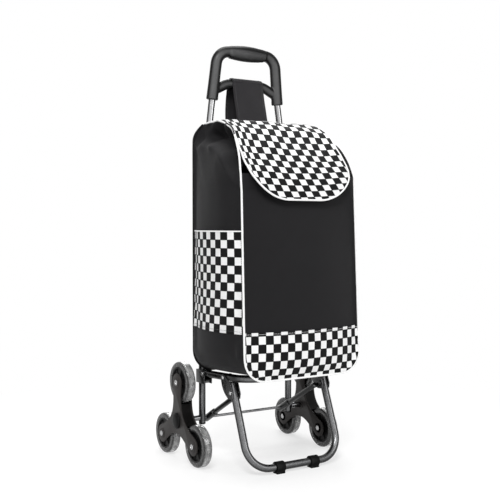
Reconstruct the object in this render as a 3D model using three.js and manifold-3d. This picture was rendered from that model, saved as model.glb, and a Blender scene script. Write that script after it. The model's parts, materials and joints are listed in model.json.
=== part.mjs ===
// A folding shopping trolley: two stair-climbing wheel stars on an axle, a bent tube frame with a
// fold-up platform and stand, and a soft bag that hangs from the handle. Millimetres, +Z up. The
// bag's front faces -Y, "left" is the -X side, and the axle lies over Y = 0 until the last lines.
import * as THREE from "three";
import { mergeVertices } from "three/addons/utils/BufferGeometryUtils.js";
import Module from "manifold-3d";

const wasm = await Module();
wasm.setup();

// ---------------------------------------------------------------- driving dimensions
const GAP = 0.3; // between pieces that touch or run on each other

// Wheel stars
const WHEEL_RADIUS = 47.5;
const TYRE_WIDTH = 22;
const TYRE_SHOULDER = 3.5; // how far the tread's edges are drawn in
const HUB_RADIUS = 36;
const HUB_INSET = 1; // rim face behind the tyre's side
const HUB_DISH = 4; // web face behind the rim face
const HUB_RIM = 4;
const HUB_KEY_HEIGHT = 6; // flange that keys the tyre to the hub
const HUB_KEY_WIDTH = 4;
const HUB_BOSS_RADIUS = 10;
const STAR_RADIUS = 88.8; // axle to wheel centre
const STAR_TRACK = 174.3; // middle of the trolley to the wheels' middle plane
const CHEEK = 3.2; // thickness of a star's side plate
const STAR_ROOM = 12.5; // wheel's middle plane to a cheek's inner face
const ARM_END_RADIUS = 21;
const ARM_WAIST = 11; // half width that the arms' sides pull in to
const ARM_WAIST_AT = 20; // distance of that pull from the axle
const STAR_WALL = 2.6;
const STAR_WALL_INSET = 2; // box wall behind the cheek's edge
const WHEEL_CLEARANCE = 2.5;
const STAR_BOSS_WALL = 8;
const BOLT_RADIUS = 4;
const BOLT_HEAD_RADIUS = 6.4;
const BOLT_HEAD_HEIGHT = 2.4;
const BOLT_SEAT_RADIUS = 12;
const BOLT_SEAT_RISE = 1;
const HUB_CAP_RADIUS = 18.5;
const HUB_CAP_HEIGHT = 6;
const HUB_CAP_SKIN = 2;
const AXLE_RADIUS = 3.5;
const SPACER_WALL = 3.2;

// Frame tubes
const FRAME_HALF_WIDTH = 122.5; // middle of the trolley to the tubes' centres
const LEG_RADIUS = 8;
const TUBE_RADIUS = 8.5; // platform rails and stand
const TUBE_WALL = 1.5;
const LEG_FOOT_BELOW_AXLE = 12.3;
const LEG_BEND_HEIGHT = 615;
const LEG_BEND_RADIUS = 400;
const PLUG_DEPTH = 6;
const PLUG_FLANGE = 3;

// Handle
const COLLAR_BELOW_GRIP = 111; // lower ends of the handle moulding below the grip bar
const COLLAR_HALF_WIDTH = 92;
const COLLAR_SETBACK = 5; // how far the collars sit behind the axle
const HANDLE_HALF_WIDTH = 87;
const HANDLE_RADIUS = 13.5;
const HANDLE_CORNER_RADIUS = 32;
const SOCKET_DEPTH = 32;
const GRIP_HEIGHT = 953; // centre of the grip bar
const GRIP_RADIUS = 17;
const GRIP_END_RADIUS = 15;
const GRIP_HALF_LENGTH = 50;
const ARCH_BELOW_GRIP = 71; // middle of the cross arch below the grip bar
const ARCH_DROP = 9; // how much lower its ends are
const ARCH_HALF_DEPTH = 12;
const ARCH_HALF_THICKNESS = 11.5;

// Platform, stand and braces, in the side view (Y, Z)
const RAIL_HEIGHT = 197.4; // rail centre line carried back over the axle
const RAIL_RISE = 0.065; // rise per millimetre forward
const HINGE_Y = -20;
const RAIL_TAIL = 7; // rail behind its hinge
const PLATFORM_FRONT = -200; // front bar's centre
const PLATFORM_CORNER_RADIUS = 52;
const RAIL_PIN_Y = -115;
const STAND_TOP_Y = -137.8; // stand's centre line at STAND_TOP_AT
const STAND_TOP_AT = 200;
const STAND_SLOPE = 0.4; // forward per millimetre down
const STAND_TOP_DROP = 3.9; // stand's upper ends below the rail line over the axle
const STAND_BAR_HEIGHT = 14;
const STAND_CORNER_RADIUS = 55;
const STAND_PIN_DROP = 22.9; // and its pins
const SHEET = 2; // bracket sheet metal
const PIN_MARGIN = 8.5; // bracket round a pin
const BRACKET_DROP = 23; // hinge bracket below its pin
const STOP_DEPTH = 24;
const STOP_LIP = 3;
const PIN_RADIUS = 3;
const PIN_HEAD_RADIUS = 4.8;
const PIN_HEAD_HEIGHT = 1.9;
const BRACE_RADIUS = 6;
const BRACE_WALL = 1.2;
const BRACE_SLEEVE_WALL = 2.2;
const BRACE_SLEEVE_LENGTH = 35;
const BRACE_SLEEVE_TAIL = 13;
const BRACE_OVERRUN = 7; // brace past the stand's pin
const FOOT_OFFSET = 46;
const FOOT_LENGTH = 22;
const FOOT_WALL = 3.5;

// Bag
const CLOTH = 2.5; // doubled cloth with its stiffener
const PATCH_CLOTH = 1.6; // pockets and the front band
const BAG_HALF_WIDTH = 152;
const BAG_REAR = -14;
const BAG_FRONT = -240; // front face at BAG_FRONT_AT
const BAG_FRONT_AT = 270;
const BAG_FRONT_LEAN = 0.0515; // backward per millimetre up
const BAG_HEM_HEIGHT = 213; // lowest edge of the front panel
const BAG_FRONT_TOP = 655;
const BAG_CORNER_RADIUS = 50;
const BAG_SHOULDER_HEIGHT = 745; // the back panel starts to turn forward to the flap's seam
const BAG_SHOULDER = [-20, 765.5]; // and passes here in the side view
const POCKET_BOTTOM = 314;
const POCKET_TOP = 532;
const POCKET_MARGIN = 7;
const BAND_TOP = 318;
const FLAP_CLOTH = 4;
const FLAP_HALF_WIDTH = 140;
const FLAP_CORNER_WIDTH = 100;
const FLAP_CORNER_HEIGHT = 85;
const FLAP_ROOM = 4.5; // flap's lining above the bag's top edge
const SEAM_ROOM = 1.1; // back panel's edge behind the flap's seam
const STRAP_HALF_WIDTH = 43;
const STRAP_CLOTH = 2.5;
const STRAP_FOOT_Y = -31;
const STRAP_FRONT = [-27, 0.179245]; // Y, and share of the way from the flap's seam to the arch
const STRAP_TAIL_TOP = 730;
const STRAP_TAIL_BOTTOM = 690;

// The flap's middle surface in the side view, from its seam to its hem.
const FLAP_LINE = [
  [-42, 776],
  [-80, 779.5],
  [-105, 780],
  [-126, 776],
  [-164, 757],
  [-185, 734],
  [-202, 711],
  [-218, 686],
  [-233, 659],
  [-242, 630],
  [-245, 600],
];

// The strap's slack behind the handle's arch: Y, and share of the way from its tail to the arch.
const STRAP_BACK = [
  [26, 0.493421],
  [20, 0.25],
  [-4.5, 0.092105],
];

// Smoothness
const TUBE_SIDES = 12;
const BORE_SIDES = 6;
const WHEEL_SIDES = 20;
const PIN_SIDES = 10;
const BEND_STEPS = 4;
const ARM_STEPS = 4;

// ---------------------------------------------------------------- derived sizes
const AXLE_HEIGHT = WHEEL_RADIUS + STAR_RADIUS * Math.sin(Math.PI / 6);
const CHEEK_FACE = STAR_ROOM + CHEEK; // wheel's middle plane to a cheek's outer face
const AXLE_END = STAR_TRACK + CHEEK_FACE + HUB_CAP_HEIGHT - HUB_CAP_SKIN - 2 * GAP;
const LEG_FOOT_HEIGHT = AXLE_HEIGHT - LEG_FOOT_BELOW_AXLE;
const COLLAR_HEIGHT = GRIP_HEIGHT - COLLAR_BELOW_GRIP;
const ARCH_HEIGHT = GRIP_HEIGHT - ARCH_BELOW_GRIP;
const STAND_TOP_HEIGHT = RAIL_HEIGHT - STAND_TOP_DROP;
const STAND_PIN_HEIGHT = RAIL_HEIGHT - STAND_PIN_DROP;
const TUBE_ROOM = TUBE_RADIUS + GAP; // half the space between a bracket's two cheeks
const BRACKET_HALF_WIDTH = TUBE_ROOM + SHEET;
const BRACE_OFFSET =
  FRAME_HALF_WIDTH -
  Math.max(BRACKET_HALF_WIDTH, LEG_RADIUS + BRACE_SLEEVE_WALL) -
  GAP -
  BRACE_RADIUS;
const railHeight = (y) => RAIL_HEIGHT - RAIL_RISE * y;
const standY = (z) => STAND_TOP_Y - STAND_SLOPE * (STAND_TOP_AT - z);
const bagFront = (z) => BAG_FRONT + BAG_FRONT_LEAN * (z - BAG_FRONT_AT);
const bagBottom = (y) => railHeight(y) + TUBE_RADIUS + GAP;
const HINGE = [HINGE_Y, railHeight(HINGE_Y)];
const RAIL_PIN = [RAIL_PIN_Y, railHeight(RAIL_PIN_Y)];
const STAND_PIN = [standY(STAND_PIN_HEIGHT), STAND_PIN_HEIGHT];
const AXLE = [0, AXLE_HEIGHT];
const [FLAP_SEAM_Y, FLAP_SEAM_HEIGHT] = FLAP_LINE[0];
const FLAP_TIP_HEIGHT = FLAP_LINE[FLAP_LINE.length - 1][1];
const SIDES = [
  ["left", -1],
  ["right", 1],
];
const ARMS = [
  ["top", Math.PI / 2],
  ["front", (7 * Math.PI) / 6],
  ["rear", (11 * Math.PI) / 6],
];

// ---------------------------------------------------------------- materials
const finish = (color, roughness, metalness = 0) =>
  new THREE.MeshStandardMaterial({ color, roughness, metalness });
const hammertone = finish(0x5c5d60, 0.4, 0.7);
const steel = finish(0xc9cacc, 0.25, 1);
const blackPlastic = finish(0x1c1b1c, 0.5);
const starPlastic = finish(0x4a4647, 0.55);
const handlePlastic = finish(0x3a3a3d, 0.5);
const rubber = finish(0x161616, 0.85);
const clearTyre = finish(0xb2b3b3, 0.3);
const blackCloth = finish(0x2b2a2c, 0.9);
const checkCloth = finish(0x8b8a8d, 0.85);

// ---------------------------------------------------------------- geometry helpers
// A path through given points, with one cross-section at each of them.
class PointPath extends THREE.Curve {
  constructor(points) {
    super();
    this.points = points;
  }

  getPoint(t, target = new THREE.Vector3()) {
    const place = t * (this.points.length - 1);
    const index = Math.min(Math.floor(place + 1e-6), this.points.length - 2);
    return target.lerpVectors(this.points[index], this.points[index + 1], place - index);
  }

  getPointAt(u, target) {
    return this.getPoint(u, target);
  }

  getTangentAt(u, target = new THREE.Vector3()) {
    const last = this.points.length - 1;
    const index = Math.round(u * last);
    const here = this.points[index];
    const arriving = here.clone().sub(this.points[Math.max(index - 1, 0)]).normalize();
    const leaving = this.points[Math.min(index + 1, last)].clone().sub(here).normalize();
    return target.copy(arriving).add(leaving).normalize();
  }
}

// A bent tube's centre line: the given corners, with each inner one rounded.
function bentLine(corners, radius, steps = BEND_STEPS) {
  const points = [corners[0].clone()];
  for (let i = 1; i < corners.length - 1; i += 1) {
    const into = corners[i].clone().sub(corners[i - 1]).normalize();
    const out = corners[i + 1].clone().sub(corners[i]).normalize();
    const turn = into.angleTo(out);
    const inward = out.clone().sub(into).normalize();
    const centre = corners[i].clone().addScaledVector(inward, radius / Math.cos(turn / 2));
    const start = corners[i].clone().addScaledVector(into, -radius * Math.tan(turn / 2));
    const axis = into.clone().cross(out).normalize();
    for (let step = 0; step <= steps; step += 1) {
      const spoke = start.clone().sub(centre).applyAxisAngle(axis, (turn * step) / steps);
      points.push(centre.clone().add(spoke));
    }
  }
  points.push(corners[corners.length - 1].clone());
  return points;
}

function sweep(points, section) {
  return new THREE.ExtrudeGeometry(section, {
    steps: points.length - 1,
    extrudePath: new PointPath(points),
    bevelEnabled: false,
  });
}

function ringPath(PathClass, radiusX, radiusY, sides) {
  const points = [];
  for (let i = 0; i < sides; i += 1) {
    const angle = (2 * Math.PI * i) / sides;
    points.push(new THREE.Vector2(radiusX * Math.cos(angle), radiusY * Math.sin(angle)));
  }
  return new PathClass(points);
}

function hollowTube(points, radius, wall) {
  const section = ringPath(THREE.Shape, radius, radius, TUBE_SIDES);
  section.holes.push(ringPath(THREE.Path, radius - wall, radius - wall, BORE_SIDES));
  return sweep(points, section);
}

function rod(points, radius, sides = TUBE_SIDES) {
  return sweep(points, ringPath(THREE.Shape, radius, radius, sides));
}

// A turned piece about the X axis from [radius, x] points, with a flat of its outline at the
// bottom. A profile that doesn't start and end on the axis closes on itself.
function turned(profile, sides) {
  const hollow = profile[0][0] > 0;
  const loop = hollow ? [...profile, profile[0]] : profile;
  const points = loop.map(([radius, x]) => new THREE.Vector2(radius, x));
  return new THREE.LatheGeometry(points, sides)
    .rotateY(Math.PI / sides)
    .rotateZ(-Math.PI / 2);
}

function shapeOf(points) {
  return new THREE.Shape(points.map(([x, y]) => new THREE.Vector2(x, y)));
}

// A side view (Y, Z) extruded from x0 to x1.
function prismAlongX(shape, x0, x1, curveSegments = 6) {
  const axes = new THREE.Matrix4().makeBasis(
    new THREE.Vector3(0, 1, 0),
    new THREE.Vector3(0, 0, 1),
    new THREE.Vector3(1, 0, 0),
  );
  const options = { depth: x1 - x0, bevelEnabled: false, curveSegments };
  return new THREE.ExtrudeGeometry(shape, options).applyMatrix4(axes).translate(x0, 0, 0);
}

// A front view (X, Z) extruded from y0 to y1.
function prismAlongY(shape, y0, y1, curveSegments = 6) {
  const options = { depth: y1 - y0, bevelEnabled: false, curveSegments };
  return new THREE.ExtrudeGeometry(shape, options).rotateX(Math.PI / 2).translate(0, y1, 0);
}

// The outline of a ribbon of even thickness along an open line.
function ribbonShape(line, thickness) {
  const points = line.map(([x, y]) => new THREE.Vector2(x, y));
  const directions = points.slice(1).map((point, i) => point.clone().sub(points[i]).normalize());
  const offsets = points.map((point, i) => {
    const before = directions[Math.max(i - 1, 0)];
    const after = directions[Math.min(i, directions.length - 1)];
    const mitre = before.clone().add(after).normalize();
    const reach = thickness / 2 / mitre.dot(after);
    return new THREE.Vector2(-mitre.y, mitre.x).multiplyScalar(reach);
  });
  const one = points.map((point, i) => point.clone().add(offsets[i]));
  const other = points.map((point, i) => point.clone().sub(offsets[i]));
  return new THREE.Shape([...one, ...other.reverse()]);
}

function solidFrom(geometry) {
  const bare = geometry.clone();
  bare.deleteAttribute("normal");
  bare.deleteAttribute("uv");
  const merged = mergeVertices(bare, 1e-4);
  return new wasm.Manifold(
    new wasm.Mesh({
      numProp: 3,
      vertProperties: merged.attributes.position.array,
      triVerts: new Uint32Array(merged.index.array),
    }),
  );
}

function geometryFrom(solid) {
  const mesh = solid.getMesh();
  const geometry = new THREE.BufferGeometry();
  geometry.setAttribute("position", new THREE.BufferAttribute(mesh.vertProperties.slice(), 3));
  geometry.setIndex(new THREE.BufferAttribute(mesh.triVerts.slice(), 1));
  return geometry;
}

function join(...geometries) {
  return geometryFrom(geometries.map(solidFrom).reduce((whole, piece) => whole.add(piece)));
}

function cut(geometry, ...tools) {
  return geometryFrom(
    tools.map(solidFrom).reduce((whole, tool) => whole.subtract(tool), solidFrom(geometry)),
  );
}

function common(one, other) {
  return geometryFrom(solidFrom(one).intersect(solidFrom(other)));
}

// A cylinder along X about a point [y, z] of the side view.
function discAlongX(radius, [y, z], x0, x1, sides = PIN_SIDES) {
  const profile = [
    [0, x0],
    [radius, x0],
    [radius, x1],
    [0, x1],
  ];
  return turned(profile, sides).translate(0, y, z);
}

function boreAlongX(radius, place) {
  return discAlongX(radius, place, -2 * STAR_TRACK, 2 * STAR_TRACK);
}

const trolley = new THREE.Group();

function add(name, geometry, material, parent = trolley) {
  const mesh = new THREE.Mesh(geometry, material);
  mesh.name = name;
  parent.add(mesh);
  return mesh;
}

// A group whose own +X points away from the trolley's middle.
function outwardGroup(sign, x, y = 0, z = 0) {
  const group = new THREE.Group();
  group.position.set(sign * x, y, z);
  group.rotation.z = sign < 0 ? Math.PI : 0;
  trolley.add(group);
  return group;
}

// ---------------------------------------------------------------- rear frame
// From the bend to the collar, on the right side.
const LEG_LEAN = new THREE.Vector3(
  COLLAR_HALF_WIDTH - FRAME_HALF_WIDTH,
  COLLAR_SETBACK,
  COLLAR_HEIGHT - LEG_BEND_HEIGHT,
).normalize();
const COLLAR = new THREE.Vector3(COLLAR_HALF_WIDTH, COLLAR_SETBACK, COLLAR_HEIGHT);
const HANDLE_KNEE = COLLAR.clone().addScaledVector(
  LEG_LEAN,
  (HANDLE_HALF_WIDTH - COLLAR_HALF_WIDTH) / LEG_LEAN.x,
);

function onSide(point, sign) {
  return new THREE.Vector3(sign * point.x, point.y, point.z);
}

function buildRearLegs() {
  const plugRadius = (LEG_RADIUS - TUBE_WALL) * Math.cos(Math.PI / BORE_SIDES) - GAP;
  const plug = turned(
    [
      [0, -PLUG_FLANGE],
      [LEG_RADIUS, -PLUG_FLANGE],
      [LEG_RADIUS, 0],
      [plugRadius, 0],
      [plugRadius, PLUG_DEPTH],
      [0, PLUG_DEPTH],
    ],
    PIN_SIDES,
  ).rotateY(-Math.PI / 2);
  const axleBore = boreAlongX(AXLE_RADIUS + GAP, AXLE);
  const top = COLLAR.clone().addScaledVector(LEG_LEAN, SOCKET_DEPTH);
  for (const [side, sign] of SIDES) {
    const foot = new THREE.Vector3(sign * FRAME_HALF_WIDTH, 0, LEG_FOOT_HEIGHT);
    const bend = new THREE.Vector3(sign * FRAME_HALF_WIDTH, 0, LEG_BEND_HEIGHT);
    const line = bentLine([foot, bend, onSide(top, sign)], LEG_BEND_RADIUS, 3);
    add(`rear_leg_${side}`, cut(hollowTube(line, LEG_RADIUS, TUBE_WALL), axleBore), hammertone);
    add(`leg_plug_${side}`, plug, blackPlastic).position.set(foot.x, 0, foot.z - GAP);
  }
}

function buildHandle() {
  const corner = new THREE.Vector3(HANDLE_KNEE.x, HANDLE_KNEE.y, GRIP_HEIGHT);
  const half = [COLLAR, HANDLE_KNEE, corner];
  const corners = [...half, ...half.map((point) => onSide(point, -1)).reverse()];
  const hoop = rod(bentLine(corners, HANDLE_CORNER_RADIUS), HANDLE_RADIUS);
  const gripProfile = [[0, -GRIP_HALF_LENGTH]];
  for (let step = -3; step <= 3; step += 1) {
    const share = step / 3;
    const swell = (GRIP_RADIUS - GRIP_END_RADIUS) * (1 - share * share);
    gripProfile.push([GRIP_END_RADIUS + swell, share * GRIP_HALF_LENGTH]);
  }
  gripProfile.push([0, GRIP_HALF_LENGTH]);
  const grip = turned(gripProfile, TUBE_SIDES).translate(0, corner.y, GRIP_HEIGHT);
  const archLine = [];
  for (let step = -4; step <= 4; step += 1) {
    const share = step / 4;
    const height = ARCH_HEIGHT - ARCH_DROP * share * share;
    archLine.push(new THREE.Vector3(share * HANDLE_HALF_WIDTH, corner.y, height));
  }
  const archSection = ringPath(THREE.Shape, ARCH_HALF_DEPTH, ARCH_HALF_THICKNESS, TUBE_SIDES);
  const sockets = SIDES.map(([, sign]) => {
    const mouth = COLLAR.clone().addScaledVector(LEG_LEAN, -HANDLE_RADIUS);
    const end = COLLAR.clone().addScaledVector(LEG_LEAN, SOCKET_DEPTH + GAP);
    return rod([onSide(mouth, sign), onSide(end, sign)], LEG_RADIUS + 2 * GAP);
  });
  add("handle", cut(join(hoop, grip, sweep(archLine, archSection)), ...sockets), handlePlastic);
}

function buildAxle() {
  const axle = discAlongX(AXLE_RADIUS, AXLE, -AXLE_END, AXLE_END, TUBE_SIDES);
  add("axle", axle, steel);
  const inner = LEG_RADIUS + GAP;
  const outer = STAR_TRACK - CHEEK_FACE - FRAME_HALF_WIDTH - GAP;
  const bore = AXLE_RADIUS + GAP;
  const sleeve = turned(
    [
      [bore, inner],
      [bore + SPACER_WALL, inner],
      [bore + SPACER_WALL, outer],
      [bore, outer],
    ],
    TUBE_SIDES,
  );
  for (const [side, sign] of SIDES) {
    const group = outwardGroup(sign, FRAME_HALF_WIDTH, 0, AXLE_HEIGHT);
    add(`axle_spacer_${side}`, sleeve, steel, group);
  }
}

// A rivet through a bracket, with its head outside. Its inner end is a second head or flush.
function pinGeometry(innerHead) {
  const face = BRACKET_HALF_WIDTH + GAP;
  const inner = innerHead
    ? [
        [0, -face - PIN_HEAD_HEIGHT],
        [PIN_HEAD_RADIUS * 0.7, -face - PIN_HEAD_HEIGHT],
        [PIN_HEAD_RADIUS, -face],
        [PIN_RADIUS, -face],
      ]
    : [
        [0, -BRACKET_HALF_WIDTH],
        [PIN_RADIUS, -BRACKET_HALF_WIDTH],
      ];
  const outer = [
    [PIN_RADIUS, face],
    [PIN_HEAD_RADIUS, face],
    [PIN_HEAD_RADIUS * 0.7, face + PIN_HEAD_HEIGHT],
    [0, face + PIN_HEAD_HEIGHT],
  ];
  return turned([...inner, ...outer], PIN_SIDES);
}

function addPins(name, place, innerHead) {
  for (const [side, sign] of SIDES) {
    const group = outwardGroup(sign, FRAME_HALF_WIDTH, ...place);
    add(`${name}_${side}`, pinGeometry(innerHead), steel, group);
  }
}

// Sheet-metal channels round the rear legs, which hold the rails' pins, and the stops under them.
function buildHinges() {
  const front = HINGE_Y - PIN_MARGIN;
  const back = LEG_RADIUS + GAP;
  const plan = shapeOf([
    [-BRACKET_HALF_WIDTH, front],
    [-TUBE_ROOM, front],
    [-TUBE_ROOM, back],
    [TUBE_ROOM, back],
    [TUBE_ROOM, front],
    [BRACKET_HALF_WIDTH, front],
    [BRACKET_HALF_WIDTH, back + SHEET],
    [-BRACKET_HALF_WIDTH, back + SHEET],
  ]);
  const bottom = HINGE[1] - BRACKET_DROP;
  const top = bagBottom(BAG_REAR) - GAP;
  const channel = new THREE.ExtrudeGeometry(plan, { depth: top - bottom, bevelEnabled: false });
  const bracket = cut(channel.translate(0, 0, bottom), boreAlongX(PIN_RADIUS + GAP, HINGE));
  const stopTop = HINGE[1] - Math.hypot(RAIL_TAIL, TUBE_RADIUS) - GAP;
  const stopRear = -LEG_RADIUS - GAP;
  const stopOutline = shapeOf([
    [stopRear, bottom],
    [stopRear, stopTop],
    [stopRear - STOP_DEPTH, stopTop],
    [stopRear - STOP_DEPTH, stopTop - STOP_LIP],
    [stopRear - STOP_DEPTH / 3, bottom],
  ]);
  const stop = prismAlongX(stopOutline, -TUBE_RADIUS, TUBE_RADIUS);
  for (const [side, sign] of SIDES) {
    add(`hinge_bracket_${side}`, bracket, hammertone).position.x = sign * FRAME_HALF_WIDTH;
    add(`hinge_stop_${side}`, stop, blackPlastic).position.x = sign * FRAME_HALF_WIDTH;
  }
  addPins("hinge_pin", HINGE, false);
}

// ---------------------------------------------------------------- platform, stand and braces
// A U of tube across the trolley, from one open end through two rounded corners to the other.
function tubeHoop(end, bar, cornerRadius) {
  const corners = [
    [FRAME_HALF_WIDTH, end],
    [FRAME_HALF_WIDTH, bar],
    [-FRAME_HALF_WIDTH, bar],
    [-FRAME_HALF_WIDTH, end],
  ].map(([x, [y, z]]) => new THREE.Vector3(x, y, z));
  return hollowTube(bentLine(corners, cornerRadius), TUBE_RADIUS, TUBE_WALL);
}

function buildPlatform() {
  const tail = HINGE_Y + RAIL_TAIL;
  const end = [tail, railHeight(tail)];
  const bar = [PLATFORM_FRONT, railHeight(PLATFORM_FRONT)];
  const bores = [HINGE, RAIL_PIN].map((place) => boreAlongX(PIN_RADIUS + GAP, place));
  add("platform", cut(tubeHoop(end, bar, PLATFORM_CORNER_RADIUS), ...bores), hammertone);
}

function buildStand() {
  const end = [standY(STAND_TOP_HEIGHT), STAND_TOP_HEIGHT];
  const bar = [standY(STAND_BAR_HEIGHT), STAND_BAR_HEIGHT];
  const bore = boreAlongX(PIN_RADIUS + GAP, STAND_PIN);
  add("stand", cut(tubeHoop(end, bar, STAND_CORNER_RADIUS), bore), hammertone);
  buildLeafBrackets();
  buildFeet(bar);
}

// Leaf-shaped channels that carry the stand's tops and turn on the rail pins.
function buildLeafBrackets() {
  const [railY, railZ] = RAIL_PIN;
  const [legY, legZ] = STAND_PIN;
  const leaf = new THREE.Shape();
  leaf.moveTo(railY + PIN_MARGIN, railZ);
  leaf.quadraticCurveTo(railY + PIN_MARGIN - 2, legZ, legY + PIN_MARGIN, legZ - 1.7 * PIN_MARGIN);
  leaf.lineTo(legY - PIN_MARGIN, legZ - 1.5 * PIN_MARGIN);
  leaf.lineTo(legY - 1.2 * PIN_MARGIN, legZ);
  leaf.lineTo(legY, railZ - PIN_MARGIN);
  leaf.lineTo(railY - PIN_MARGIN / 2, railZ + PIN_MARGIN * 0.85);
  leaf.lineTo(railY + PIN_MARGIN / 2, railZ + PIN_MARGIN * 0.85);
  // The web joins the two leaves behind the stand's leg.
  const across = Math.hypot(1, STAND_SLOPE);
  const behindLeg = (z, offset) => [standY(z) + (TUBE_ROOM + offset) * across, z];
  const webLow = legZ + 2;
  const webHigh = legZ + PIN_MARGIN;
  const web = shapeOf([
    behindLeg(webLow, 0),
    behindLeg(webHigh, 0),
    behindLeg(webHigh, SHEET),
    behindLeg(webLow, SHEET),
  ]);
  const bracket = cut(
    join(
      prismAlongX(leaf, TUBE_ROOM, BRACKET_HALF_WIDTH),
      prismAlongX(leaf, -BRACKET_HALF_WIDTH, -TUBE_ROOM),
      prismAlongX(web, -BRACKET_HALF_WIDTH, BRACKET_HALF_WIDTH),
    ),
    boreAlongX(PIN_RADIUS + GAP, RAIL_PIN),
    boreAlongX(PIN_RADIUS + GAP, STAND_PIN),
  );
  for (const [side, sign] of SIDES) {
    add(`leaf_bracket_${side}`, bracket, hammertone).position.x = sign * FRAME_HALF_WIDTH;
  }
  addPins("rail_pin", RAIL_PIN, true);
  addPins("stand_pin", STAND_PIN, false);
}

// Rubber clips round the stand's bar, with a flat sole on the ground.
function buildFeet([barY, barZ]) {
  const hole = TUBE_RADIUS + GAP;
  const outside = hole + FOOT_WALL;
  const outline = new THREE.Shape();
  outline.absarc(0, 0, outside, -Math.PI / 4, (5 * Math.PI) / 4, false);
  outline.lineTo(-outside * 0.7, -barZ);
  outline.lineTo(outside * 0.7, -barZ);
  outline.holes.push(ringPath(THREE.Path, hole, hole, WHEEL_SIDES));
  const foot = prismAlongX(outline, -FOOT_LENGTH / 2, FOOT_LENGTH / 2);
  for (const [side, sign] of SIDES) {
    add(`rubber_foot_${side}`, foot, rubber).position.set(sign * FOOT_OFFSET, barY, barZ);
  }
}

// Each brace turns on the axle and reaches the stand's pin from the inner side.
function buildBraces() {
  const axle = new THREE.Vector3(0, ...AXLE);
  const pin = new THREE.Vector3(0, ...STAND_PIN);
  const along = pin.clone().sub(axle).normalize();
  const beyond = (point, distance) => point.clone().addScaledVector(along, distance);
  const start = beyond(axle, BRACE_SLEEVE_LENGTH / 2);
  const tube = hollowTube([start, beyond(pin, BRACE_OVERRUN)], BRACE_RADIUS, BRACE_WALL);
  const sleeve = rod(
    [beyond(axle, -BRACE_SLEEVE_TAIL), beyond(axle, BRACE_SLEEVE_LENGTH)],
    BRACE_RADIUS + BRACE_SLEEVE_WALL,
  );
  const brace = cut(join(tube, sleeve), boreAlongX(AXLE_RADIUS + GAP, AXLE));
  for (const [side, sign] of SIDES) {
    add(`brace_${side}`, brace, hammertone).position.x = sign * BRACE_OFFSET;
  }
}

// ---------------------------------------------------------------- wheel stars
// The three-armed outline of a star, drawn in by `inset`, about the axle.
function starOutline(inset, PathClass = THREE.Shape) {
  const endRadius = ARM_END_RADIUS - inset;
  const waist = ARM_WAIST - inset;
  const rise = STAR_RADIUS - ARM_WAIST_AT;
  // Where the arm's side meets its round end, as an angle below the arm's cross line.
  const turn = Math.atan2(rise, waist) - Math.acos(endRadius / Math.hypot(rise, waist));
  const outline = new PathClass();
  ARMS.forEach(([, arm], index) => {
    const next = ARMS[(index + 1) % ARMS.length][1];
    const along = (angle, radial, lateral) => [
      radial * Math.cos(angle) - lateral * Math.sin(angle),
      radial * Math.sin(angle) + lateral * Math.cos(angle),
    ];
    const centre = along(arm, STAR_RADIUS, 0);
    const from = arm - Math.PI / 2 - turn;
    const to = arm + Math.PI / 2 + turn;
    outline.absarc(...centre, endRadius, from, to, false);
    outline.bezierCurveTo(
      ...along(arm, ARM_WAIST_AT, waist),
      ...along(next, ARM_WAIST_AT, -waist),
      ...along(
        next,
        STAR_RADIUS - endRadius * Math.sin(turn),
        -endRadius * Math.cos(turn),
      ),
    );
  });
  return outline;
}

function armPlace(angle) {
  return [STAR_RADIUS * Math.cos(angle), STAR_RADIUS * Math.sin(angle)];
}

// One half of a star's casing, from its cheek to the middle plane. `seat` is the rise of the
// rings that the bolt heads sit on.
function starShell(seat) {
  const middle = GAP / 2;
  const boxWall = starOutline(STAR_WALL_INSET);
  boxWall.holes.push(starOutline(STAR_WALL_INSET + STAR_WALL, THREE.Path));
  const wheelRooms = ARMS.map(([, angle]) =>
    discAlongX(WHEEL_RADIUS + WHEEL_CLEARANCE, armPlace(angle), -1, STAR_ROOM, WHEEL_SIDES),
  );
  const box = cut(prismAlongX(boxWall, middle, STAR_ROOM + CHEEK / 2, ARM_STEPS), ...wheelRooms);
  const boss = discAlongX(AXLE_RADIUS + GAP + STAR_BOSS_WALL, [0, 0], middle, CHEEK_FACE);
  const seats = ARMS.map(([, angle]) =>
    discAlongX(BOLT_SEAT_RADIUS, armPlace(angle), STAR_ROOM, CHEEK_FACE + seat),
  );
  const cheek = prismAlongX(starOutline(0), STAR_ROOM, CHEEK_FACE, ARM_STEPS);
  return cut(
    join(cheek, box, boss, ...(seat > 0 ? seats : [])),
    boreAlongX(AXLE_RADIUS + GAP, [0, 0]),
    ...ARMS.map(([, angle]) => boreAlongX(BOLT_RADIUS + GAP, armPlace(angle))),
  );
}

function hubGeometry() {
  const boss = STAR_ROOM - GAP;
  const rim = TYRE_WIDTH / 2 - HUB_INSET;
  const web = rim - HUB_DISH;
  const key = HUB_KEY_WIDTH / 2;
  const half = [
    [BOLT_RADIUS + GAP, boss],
    [HUB_BOSS_RADIUS, boss],
    [HUB_BOSS_RADIUS, web],
    [HUB_RADIUS - HUB_RIM, web],
    [HUB_RADIUS - HUB_RIM, rim],
    [HUB_RADIUS, rim],
    [HUB_RADIUS, key],
    [HUB_RADIUS + HUB_KEY_HEIGHT, key],
  ];
  const mirrored = half.map(([radius, x]) => [radius, -x]);
  return turned([...mirrored, ...half.reverse()], WHEEL_SIDES);
}

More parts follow.
